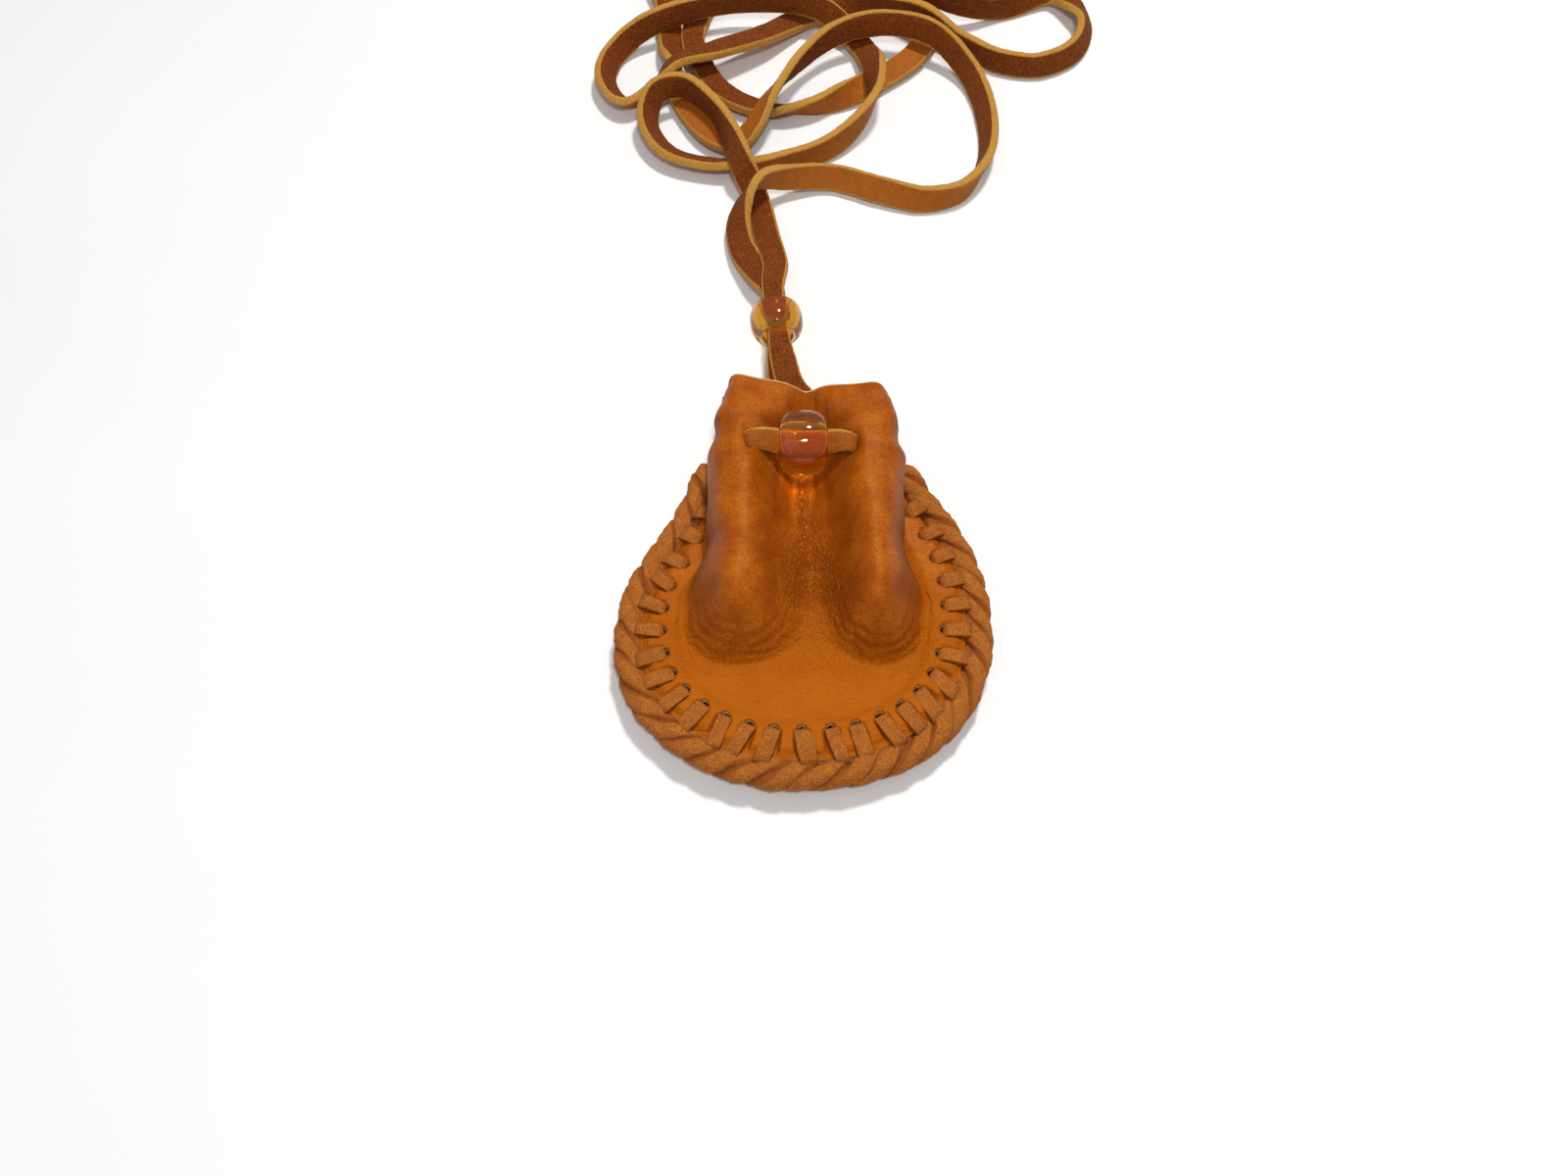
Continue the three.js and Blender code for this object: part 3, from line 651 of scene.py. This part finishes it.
def rim_frame(fraction):
    """(place on the braid's centreline, run along it, way in from it), seen from above."""
    place = np.stack([np.interp(fraction, rim_share, rim_line[:, k]) for k in (0, 1)], axis=-1)
    run = unit(np.stack([np.interp(fraction, rim_share, rim_run[:, k]) for k in (0, 1)], axis=-1))
    return place, run, np.stack([-run[..., 1], run[..., 0]], axis=-1)


def rim_distance(x, y):
    """How far a place is from the braid's centreline, seen from above."""
    coarse = rim_line[::4]
    return np.sqrt(np.min((x[..., None] - coarse[:, 0]) ** 2 + (y[..., None] - coarse[:, 1]) ** 2, axis=-1))


def hole_offset(fraction):
    """How far in from the braid's centreline a stitch's hole is, at that share of the rim."""
    return MM * (2.9 + 2.5 * np.sin(np.pi * fraction) ** 1.5)


stitch_at = np.linspace(FIRST_STITCH, 1 - FIRST_STITCH, STITCH_COUNT)


def panel_edge(side, v):
    """A panel's left (-1) or right (1) side: along the braid, then free up to the mouth."""
    place, _, inward = rim_frame(0.5 + side * 0.5 * np.minimum(v / SEAM_SHARE, 1))
    inset = PANEL_INSET - TUCK * fade(v, 0.6 * SEAM_SHARE, SEAM_SHARE)
    edge = place + inward * inset[..., None]
    corner = np.array([MOUTH_CENTRE_X + side * MOUTH_HALF_WIDTH, MOUTH_Y - side * MOUTH_SLANT])
    free = np.maximum(0, (v - SEAM_SHARE) / (1 - SEAM_SHARE))[..., None]
    flare = np.array([side * SIDE_FLARE, 0])
    return edge + (corner - edge) * free + flare * np.sin(np.pi * free) ** 2


def mouth_curl(x, y):
    """How far the mouth's two corners curl up from the table."""
    across = np.abs(x - MOUTH_CENTRE_X) / MOUTH_HALF_WIDTH
    return MOUTH_CURL * smoothstep(y, 15 * MM, MOUTH_Y) * across**3


def back_underside(u, v):
    """The back panel's lower face, which lies on the table and rises to the seam."""
    left, right = panel_edge(-1, v), panel_edge(1, v)
    xy = left + (right - left) * u[..., None]
    dish = smoothstep(rim_distance(xy[..., 0], xy[..., 1]), 6 * MM, 12 * MM)
    free = smoothstep(xy[..., 1], 13 * MM, 24 * MM)
    z = SEAM_UNDERSIDE * (1 - dish) * (1 - free) + mouth_curl(xy[..., 0], xy[..., 1])
    return np.concatenate([xy, z[..., None]], axis=-1)


def fold_section(t, side, edge_x, y):
    """(x, rise) along one side's section: a flat seam up to SEAM_END, the steep outer wall up to the
    crest at CREST_AT, then the slope to the middle of the valley, where t is 1."""
    nose = np.maximum(0, (NOSE_START - y) / NOSE_LENGTH)
    middle = smooth_along(VALLEY_X, y)
    room = smooth_along(FLAT_SHARE, y) * np.abs(edge_x - middle)
    foot_x = np.where(side < 0, smooth_along(LEFT_FOOT_X, y), smooth_along(RIGHT_FOOT_X, y))
    crest_x = np.where(side < 0, smooth_along(LEFT_CREST_X, y), smooth_along(RIGHT_CREST_X, y))
    foot_reach = np.minimum(room, np.abs(foot_x - middle))
    foot = middle + side * foot_reach
    crest = middle + side * np.minimum(CREST_REACH * foot_reach, np.abs(crest_x - middle))
    rise = smooth_along(CREST_RISE, y)
    valley = smooth_along(VALLEY_RISE, y) / rise
    lean = np.radians(WALL_OVERHANG) * np.maximum(0, 1 - 4 * nose)
    climbed = np.clip((t - SEAM_END) / (CREST_AT - SEAM_END), 0, 1)
    angle = -lean + (np.pi / 2 + lean) * climbed
    power = smooth_along(WALL_SQUARENESS, y)
    dropped = np.sin(lean) ** power
    climb = np.sign(angle) * np.abs(np.sin(angle)) ** power
    bulge = side * smooth_along(WALL_BULGE, y) * np.sin(np.pi * climbed)
    share = np.clip((t - CREST_AT) / (1 - CREST_AT), 0, 1)
    dip = (1 + np.cos(np.pi * share ** smooth_along(VALLEY_TIGHTNESS, y))) / 2
    on_seam, on_wall = t <= SEAM_END, (t > SEAM_END) & (t <= CREST_AT)
    x = np.where(on_seam, edge_x + (foot - edge_x) * t / SEAM_END, crest + (middle - crest) * share)
    ease = smooth_along(WALL_EASE, y)
    steep_x = crest + (foot - crest) * (np.cos(angle) / np.cos(lean)) ** power + bulge
    x = np.where(on_wall, steep_x + (foot + (crest - foot) * climbed - steep_x) * ease, x)
    profile = np.where(on_seam, 0, valley + (1 - valley) * dip)
    steep = (climb + dropped) / (1 + dropped)
    profile = np.where(on_wall, steep + ((1 - np.cos(np.pi * climbed)) / 2 - steep) * ease, profile)
    kept = np.maximum(0, 1 - (nose / np.maximum(profile, 1e-6) ** NOSE_ROUNDNESS) ** 2)
    height = rise * profile * kept
    return x, height * height / (height + FILLET) * (1 + FILLET / rise)


def front_outside(u, v):
    """The front panel's upper face."""
    left, right = panel_edge(-1, v), panel_edge(1, v)
    side = np.where(u < 0.5, -1, 1)
    t = np.where(u < 0.5, 2 * u, 2 - 2 * u)
    y = left[..., 1] + (right[..., 1] - left[..., 1]) * u
    x, rise = fold_section(t, side, np.where(u < 0.5, left[..., 0], right[..., 0]), y)
    return np.stack([x, y, SEAM_TOP + mouth_curl(x, y) + rise], axis=-1)


def grid_normals(points):
    return unit(np.cross(np.gradient(points, axis=1), np.gradient(points, axis=0)))


def shell(top, bottom, kept):
    """(points, faces) of a closed shell between two grids, left open where a cell isn't kept."""
    rows, columns = top.shape[:2]
    n = rows * columns
    index = np.arange(n).reshape(rows, columns)
    corners = [index[:-1, :-1], index[:-1, 1:], index[1:, 1:], index[1:, :-1]]
    quads = np.stack(corners, axis=-1)[kept]
    faces = [quads, quads[:, ::-1] + n]
    fenced = np.pad(kept, 1)
    beside = [fenced[:-2, 1:-1], fenced[1:-1, 2:], fenced[2:, 1:-1], fenced[1:-1, :-2]]
    for i in range(4):
        a, b = corners[i][kept & ~beside[i]], corners[(i + 1) % 4][kept & ~beside[i]]
        faces.append(np.stack([b, a, a + n, b + n], axis=-1))
    return np.vstack([top.reshape(-1, 3), bottom.reshape(-1, 3)]), faces


def slot_distance(x, y, centre, along, half_length, half_width):
    """Below 1 inside an oval slot in the panel, and above it outside."""
    dx, dy = x - centre[0], y - centre[1]
    u = dx * along[0] + dy * along[1]
    w = -dx * along[1] + dy * along[0]
    return np.sqrt((u / half_length) ** 2 + (w / half_width) ** 2)


def from_holes(x, y):
    """For each stitch's hole: how far each place is from it sideways and inward, the hole's centre,
    its run along the seam and its way in."""
    places, runs, inwards = rim_frame(stitch_at)
    centres = places + inwards * hole_offset(stitch_at)[:, None]
    for centre, run, inward in zip(centres, runs, inwards):
        dx, dy = x - centre[0], y - centre[1]
        yield dx * run[0] + dy * run[1], dx * inward[0] + dy * inward[1], centre, run, inward


def seam_puff(x, y):
    """1 in the band along the seam where the leather puffs up between the stitches."""
    fence = rim_distance(x, y)
    return smoothstep(fence, 1.5 * MM, 3 * MM) * fade(fence, 5.5 * MM, 7.5 * MM)


def panel_grid(rows, columns):
    """(u across, v up) at each point of a panel's grid."""
    v = np.linspace(BOTTOM_SHARE, 1, rows)[:, None] * np.ones(columns)
    u = np.ones(rows)[:, None] * np.linspace(0, 1, columns)
    return u, v


def uncut(opened):
    """Which cells of a grid to keep: fewer than two of their corners are in a slot."""
    return opened[:-1, :-1] + opened[1:, 1:] + opened[:-1, 1:] + opened[1:, :-1] < 2


def valley_crackle(flat, middle, rise):
    """A crinkled valley, wider toward the bottom, and a crinkled band round the foot of each fold:
    (lift, painted shade in the creases of its net, how crinkled, how much in the band)."""
    y = flat[..., 1]
    reach = MM * (1.5 + 6.0 * smoothstep(-y, -14 * MM, 7 * MM))
    crinkle = fade(np.abs(middle), 0.3 * reach, reach) * smoothstep(-y, -30 * MM, -12 * MM)
    foot_band = smoothstep(-y, 2 * MM, 8 * MM) * fade(rise, 1.5 * MM, 6 * MM)
    crinkle = np.maximum(crinkle, 0.8 * foot_band) * fade(-y, 12.5 * MM, 16 * MM)
    stretch = 1 + 1.4 * smoothstep(y, -3 * MM, 8 * MM)
    squash = 1 + 1.2 * foot_band * smoothstep(rise, 0.2 * MM, 1.5 * MM)
    wander = np.stack([noise(flat, 1.3 * MM, 5), noise(flat, 1.3 * MM, 6)], axis=-1)
    net = crease_cells((flat + 0.35 * MM * wander) / np.stack([squash, stretch], axis=-1), 0.62 * MM, 7)
    lift = crinkle * MM * (0.13 * smoothstep(net, 0, 0.6) - 0.09)
    return lift, 0.2 * crinkle * fade(net, 0.0, 0.35), crinkle, foot_band


def nose_rings(flat, rise):
    """Wrinkles that curve round the foot of each fold: (lift, painted shade in their troughs, how much in
    their band).
    """
    y = flat[..., 1]
    band = smoothstep(-y, 3 * MM, 8 * MM) * smoothstep(rise, 0.1 * MM, 0.8 * MM)
    band = band * fade(rise, 3.5 * MM, 6.5 * MM)
    rings = np.sin(rise / (0.22 * MM) + 2.6 * noise(flat, 2.0 * MM, 9))
    rings = rings * (0.6 + 0.4 * noise(flat, 1.3 * MM, 10))
    return band * rings * 0.09 * MM, 0.30 * band * fade(rings, -0.9, 0.0), band


def crescent_wrinkles(flat, rise):
    """Fine cross wrinkles on the flat crescent below the folds."""
    x, y = flat[..., 0], flat[..., 1]
    crescent = smoothstep(-y, 10 * MM, 14 * MM) * fade(rise, 0.2 * MM, 1.5 * MM)
    short = noise(np.stack([x / 3.0, y], axis=-1), 0.34 * MM, 11) + 0.6 * rough(flat, 0.9 * MM, 15)
    return crescent * short * 0.045 * MM


def bead_pleats(flat, middle):
    """Pleats that gather under and over the front bead: (lift, painted shade in their troughs)."""
    x, y = flat[..., 0], flat[..., 1]
    near_bead = np.exp(-((y - 18 * MM) / (9 * MM)) ** 2) * fade(np.abs(middle), 1.5 * MM, 5.5 * MM)
    pleats = np.sin(middle / (0.26 * MM) + 2.2 * noise(np.stack([x, y / 3], axis=-1), 1.2 * MM, 13))
    return near_bead * 0.12 * MM * pleats, 0.40 * near_bead * fade(pleats, -0.9, 0.2)


def make_front():
    """The gathered front panel, with its slots, creases and puffs."""
    rows, columns = 300, 400
    u, v = panel_grid(rows, columns)
    base = front_outside(u, v)
    normal = grid_normals(base)
    flat = base[..., :2]
    x, y = flat[..., 0], flat[..., 1]
    rise = base[..., 2] - SEAM_TOP
    middle = x - smooth_along(VALLEY_X, y)
    lift, crackle_painted_shade, crinkle, foot_band = valley_crackle(flat, middle, rise)
    ring_lift, ring_painted_shade, nose_band = nose_rings(flat, rise)
    lift += ring_lift + crescent_wrinkles(flat, rise)
    # fine creases across the folds, and the folds' gentle unevenness
    lift += 0.02 * MM * rough(np.stack([x / 1.8, y], axis=-1), 0.6 * MM, 16)
    lift += 0.09 * MM * rough(base, 7 * MM, 12) * smoothstep(rise, 0.5 * MM, 3 * MM)
    pleat_lift, pleat_painted_shade = bead_pleats(flat, middle)
    lift += pleat_lift
    # puffed leather between the stitches, pressed down under them and dimpled at their holes, with painted
    # shade round the holes
    opened, painted_hole_shade, pressed = (np.zeros_like(x) for _ in range(3))
    puff = seam_puff(x, y) * fade(rise, 0.3 * MM, 1.5 * MM)
    low = fade(rise, 0.4 * MM, 1.2 * MM)
    for sideways, depth, centre, run, inward in from_holes(x, y):
        under = np.exp(-((sideways / (1.05 * MM)) ** 6)) * fade(depth, -0.5 * MM, 0.3 * MM)
        pressed = np.maximum(pressed, under * (np.abs(depth) < 9 * MM))
        ring = slot_distance(x, y, centre + 0.25 * MM * inward, run, 0.55 * MM, 0.42 * MM)
        painted_hole_shade = np.maximum(painted_hole_shade, low * fade(ring, 1.0, 1.5) * smoothstep(depth, -0.3 * MM, 0.2 * MM))
        lift -= 0.15 * MM * fade(ring, 0.8, 1.8) * low
        opened = np.maximum(opened, (ring < 1) & (low > 0.5))
    lift += puff * MM * (0.78 * (1 - pressed) - 0.2 * pressed + 0.05 * rough(flat, 1.1 * MM, 14))
    # the two slots for the front lace, in dents of their own, with painted shade round them
    for centre in FRONT_HOLES:
        ring = slot_distance(x, y, centre, (1, 0), 0.8 * MM, 1.35 * MM)
        lift -= 0.55 * MM * fade(ring, 0.7, 2.6)
        painted_hole_shade = np.maximum(painted_hole_shade, 0.8 * fade(ring, 0.9, 1.5))
        opened = np.maximum(opened, ring < 0.9)
    # a rounded lip at the mouth
    border = np.minimum((1 - v) / 0.009, 1)
    lift -= 0.3 * MM * (1 - np.sqrt(1 - (1 - border) ** 2))
    top = base + normal * lift[..., None]
    bottom = base - normal * (LEATHER - 0.4 * np.minimum(lift, 0))[..., None]
    points, faces = shell(top, bottom, uncut(opened))
    # painted shade in the creases, wrinkles and pleats, a painted shadow down the valley under the bead, and
    # painted shade on the outer walls and round the holes and slots
    valley_painted_shadow = fade(np.abs(middle), 0, 2.4 * MM) * smoothstep(y, 9 * MM, 20 * MM)
    slope = fade(normal[..., 2], 0.35, 0.9)
    # painted shade on the outer walls, deeper where they are steep and less toward the noses
    wall_painted_shade = slope * smoothstep(rise, 0.8 * MM, 3 * MM) * (1 - 0.7 * smoothstep(-y, 1 * MM, 9 * MM))
    wall_painted_shade *= 0.5 + 0.2 * rough(flat, 3 * MM, 17)
    painted_shades = [crackle_painted_shade, ring_painted_shade, pleat_painted_shade, 0.30 * valley_painted_shadow, wall_painted_shade, painted_hole_shade]
    look = np.zeros((2, rows, columns, 4))
    look[0, ..., 0] = np.clip(np.maximum.reduce(painted_shades), 0, 1)
    look[0, ..., 1] = smoothstep(v, 0.9925, 0.996) * 0.35
    look[0, ..., 2] = 0.9 * fade(rise, 0.3 * MM, 2.5 * MM) * smoothstep(-y, -10 * MM, 10 * MM)
    look[0, ..., 3] = np.maximum(crinkle * (1 - 0.5 * foot_band), 0.25 * nose_band)
    look[1, ..., 1] = 1
    parts = points, faces, look.reshape(-1, 4)
    piece = add_piece("front", parts, GRAIN_LEATHER, ["front_panel"])


def make_back():
    """The plain back panel, grain side down."""
    rows, columns = 220, 260
    base = back_underside(*panel_grid(rows, columns))
    normal = grid_normals(base)
    x, y = base[..., 0], base[..., 1]
    opened, painted_hole_shade, pressed = (np.zeros_like(x) for _ in range(3))
    for sideways, depth, centre, run, _ in from_holes(x, y):
        under = np.exp(-((sideways / (1.35 * MM)) ** 4)) * fade(depth, -0.3 * MM, 0.9 * MM)
        pressed = np.maximum(pressed, under * (np.abs(depth) < 9 * MM))
        ring = slot_distance(x, y, centre, run, 1.0 * MM, 0.55 * MM)
        # painted shade round each hole, on the underside
        painted_hole_shade = np.maximum(painted_hole_shade, fade(ring, 0.9, 1.6))
        opened = np.maximum(opened, ring < 1)
    lift = seam_puff(x, y) * MM * (0.24 * (1 - pressed) - 0.15 * pressed)
    lift = lift * smoothstep(base[..., 2], 0.3 * MM, 1.2 * MM)
    points, faces = shell(base + normal * LEATHER, base - normal * lift[..., None], uncut(opened))
    look = np.zeros((2, rows, columns, 4))
    look[0, ..., 1] = 1
    look[1, ..., 0] = np.clip(painted_hole_shade, 0, 1)
    look[1, ..., 2] = 0.2
    parts = points, faces, look.reshape(-1, 4)
    piece = add_piece("back", parts, GRAIN_LEATHER, ["back_panel"])


make_front()
make_back()


# Edge lacing

def stitch_route(hole):
    """A stitch's way in from the braid (x) and up (z): over the leather to its hole, down through
    it and back underneath."""
    half = STITCH_THICKNESS / 2
    top, under = SEAM_TOP + half - 0.15 * MM, SEAM_UNDERSIDE - half - 0.05 * MM
    return np.array([
        [0.3 * MM, BRAID_Z + 0.9 * MM], [1.0 * MM, top + 0.15 * MM], [2.1 * MM, top + 0.20 * MM],
        [(hole + 1.6 * MM) / 2, top + 0.14 * MM], [hole - 0.50 * MM, top + 0.06 * MM],
        [hole - 0.02 * MM, top - 0.35 * MM], [hole + 0.04 * MM, top - 1.2 * MM],
        [hole + 0.04 * MM, under + 1.1 * MM], [hole - 0.15 * MM, under + 0.35 * MM],
        [hole - 0.8 * MM, under], [2.2 * MM, under], [1.2 * MM, under + 0.1 * MM],
        [0.3 * MM, BRAID_Z - 0.9 * MM],
    ])


def make_stitches():
    """One stitch at each hole, each with its own skew, width and random tone, and painted shade where it
    goes into its hole and out of the braid.
    """
    random = np.random.default_rng(8)
    for i, (place, run, inward) in enumerate(zip(*rim_frame(stitch_at))):
        hole = hole_offset(stitch_at[i])
        skew = random.normal(0, 0.15)
        section, number = curve_through(stitch_route(hole), 10)
        section, number = respaced(section, 0.14 * MM, number)
        away = (hole - section[:, :1]) * skew * run
        line = np.column_stack([place + section[:, :1] * inward - away, section[:, 1]])
        line_run = unit(np.gradient(line, axis=0))
        across = np.broadcast_to(np.append(unit(run - 0.5 * skew * inward), 0), line.shape)
        normal = unit(np.cross(across, line_run))
        in_hole = np.exp(-(((number - 6.5) / 1.6) ** 2))
        width = STITCH_WIDTH * random.uniform(0.76, 0.94) * (1 - 0.14 * in_hole)
        # painted shade where it enters its hole and where it comes out of the braid, and a random tone of
        # its own
        shade = 0.85 * np.exp(-(((number - 5.7) / 0.7) ** 2)) + 0.6 * np.exp(-((number / 1.0) ** 2))
        shade = shade + random.uniform(0, 0.12)
        parts = strip(line, across, normal, width, 0.8 * STITCH_THICKNESS, 40 + i, cup=0.04 * MM,
                      fuzz=0.16 * MM, shade=np.clip(shade, 0, 1), flip=True)
        add_piece(f"stitch_{i + 1:02d}", parts, EDGE_LACE, [f"edge_stitch_{i + 1:02d}"])


def make_braid():
    """Flat strands laid round each other along the rim. One comes over its top at each stitch."""
    (line,) = respaced(rim_line, 0.22 * MM)
    share = np.linspace(0, 1, len(line))
    place, _, inward = rim_frame(share)
    turn = 2 * np.pi * (share - FIRST_STITCH) / (STRAND_COUNT * (stitch_at[1] - stitch_at[0]))
    outward = np.column_stack([-inward, np.zeros(len(line))])
    centre = np.column_stack([place, np.full(len(line), BRAID_Z + 0.25 * MM)]) + 0.25 * MM * outward
    taper = 0.3 + 0.7 * smoothstep(share, 0, 0.015) * smoothstep(1 - share, 0, 0.015)
    parts = []
    for k in range(STRAND_COUNT):
        wander = noise(np.column_stack([share * 40, np.full(len(share), k * 7.0)]), 1.0, 70 + k)
        loose = noise(np.column_stack([share * 55, np.full(len(share), k * 7.0)]), 1.0, 75 + k)
        angle = turn + 2 * np.pi * (k / STRAND_COUNT + 0.36) + 0.4 * wander
        out, up = np.cos(angle)[:, None] * outward, np.sin(angle)[:, None] * UP
        reach = (1 + 0.12 * loose) * taper
        strand = centre + MM * reach[:, None] * (1.08 * out + 0.98 * up)
        strand_run = unit(np.gradient(strand, axis=0))
        normal = square_to(strand_run, out + up)
        across = np.cross(strand_run, normal)
        width = STRAND_WIDTH * (1 + 0.10 * loose) * (0.5 + 0.5 * taper)
        parts.append(strip(strand, across, normal, width, STRAND_THICKNESS, 80 + k, cup=-0.55 * MM,
                           fuzz=0.22 * MM, flip=True))
    add_piece("edge_plait", joined(parts), EDGE_LACE, ["edge_braid"])


make_stitches()
make_braid()


def make_front_lace():
    """The lace across the front, through the front bead, down into a slot at each end."""
    route = MM * np.array([
        [-8.0, 17.9, 11.2], [-7.1, 17.9, 13.1], [-5.6, 17.8, 13.35], [-3.0, 17.7, 12.8], [0.1, 17.7, 12.4],
        [3.2, 17.7, 12.7], [5.2, 17.6, 13.1], [6.6, 17.6, 12.8], [7.5, 17.6, 11.2],
    ])
    leans = [75, 58, 45, 42, 40, 42, 45, 58, 75]
    widths = MM * np.array([2.3, 2.5, 3.1, 3.5, 3.4, 3.5, 3.2, 2.6, 2.3])
    line, number = curve_through(route, 16)
    line, number = respaced(line, 0.2 * MM, number)
    lean, width = (softened(np.interp(number, range(9), values), 5) for values in (leans, widths))
    across, normal = leaning(line, lean)
    parts = strip(line, across, normal, width, 1.15 * MM, 90, cup=-0.08 * MM, fuzz=0.03 * MM)
    add_piece("front_lace", parts, NECK_LACE, ["drawstring_front"])


make_front_lace()


# Beads

def make_bead(name, body, centre, axis, radius, length):
    """A barrel bead round its axis, with softened rims and a straight hole."""
    share = np.linspace(-1, 1, 41)
    swell = np.sqrt(np.clip(1 - np.abs(share) ** 2.3, 0, 1))
    outer = np.column_stack([length / 2 * share, radius * (0.60 + 0.40 * swell)])
    soft = np.linspace(0, math.pi / 2, 6)[1:]
    lip = 0.35 * MM
    rim = [(length / 2, r) for r in np.linspace(outer[-1, 1], BEAD_HOLE + lip, 5)[1:-1]]
    rim += [(length / 2 - lip + lip * math.cos(a), BEAD_HOLE + lip - lip * math.sin(a)) for a in soft]
    bore = [(x, BEAD_HOLE) for x in np.linspace(length / 2 - lip, -length / 2 + lip, 9)[1:-1]]
    back = [(-x, r) for x, r in rim[::-1]]
    profile = np.array([*outer, *rim, *bore, *back])
    sides = 96
    angle = np.linspace(0, 2 * math.pi, sides, endpoint=False)
    axis = unit(np.array(axis, float))
    first = unit(np.cross(axis, [0.0, 0.3, 1.0]))
    second = np.cross(axis, first)
    ring = np.cos(angle)[:, None] * first + np.sin(angle)[:, None] * second
    points = centre + profile[:, 0, None, None] * axis + profile[:, 1, None, None] * ring
    index = np.arange(len(points) * sides).reshape(-1, sides)
    down, right = np.roll(index, -1, axis=0), np.roll(index, -1, axis=1)
    quads = np.stack([index, right, np.roll(down, -1, axis=1), down], axis=-1).reshape(-1, 4)
    parts = (points.reshape(-1, 3), [quads], None)
    piece = add_piece(name, parts, AMBER, [body], body)
    piece.visible_shadow = False  # clear enough to light the lace inside it


make_bead("bead_front", "front_bead", *FRONT_BEAD)
make_bead("bead_slider", "slider_bead", *SLIDER_BEAD)


# Table top and lights

FLOOR_REACH = 1.5
LIGHTS = [  # name, place, what it points at, size, watts
    ("key", (0.10, 0.25, 0.55), (0, 0.02, 0), 0.08, 2.35),
    ("flash", (0.02, -0.14, 0.34), (0, 0.01, 0), 0.04, 0.42),
    ("fill", (-0.35, -0.20, 0.35), (0, 0.03, 0), 0.6, 0.28),
]


def make_floor():
    corners = FLOOR_REACH * np.array([[-1, -1, 0], [1, -1, 0], [1, 1, 0], [-1, 1, 0]])
    floor = mesh_object("table_top", corners, [np.array([[0, 1, 2, 3]])], table_top())


def make_light(name, place, target, size, watts):
    data = bpy.data.lights.new(name, "AREA")
    data.shape = "DISK"
    data.size = size
    data.energy = watts
    light = bpy.data.objects.new(name, data)
    light.location = place
    light.rotation_euler = (Vector(target) - Vector(place)).to_track_quat("-Z", "Y").to_euler()
    bpy.context.scene.collection.objects.link(light)


def make_world():
    """A dim white studio all round."""
    world = bpy.data.worlds.new("studio")
    world.use_nodes = True
    background = world.node_tree.nodes["Background"]
    background.inputs["Color"].default_value = (0.95, 0.97, 1.0, 1)
    background.inputs["Strength"].default_value = 0.3
    bpy.context.scene.world = world
    bpy.context.scene.view_settings.view_transform = "Standard"


make_floor()
for light in LIGHTS:
    make_light(*light)
make_world()
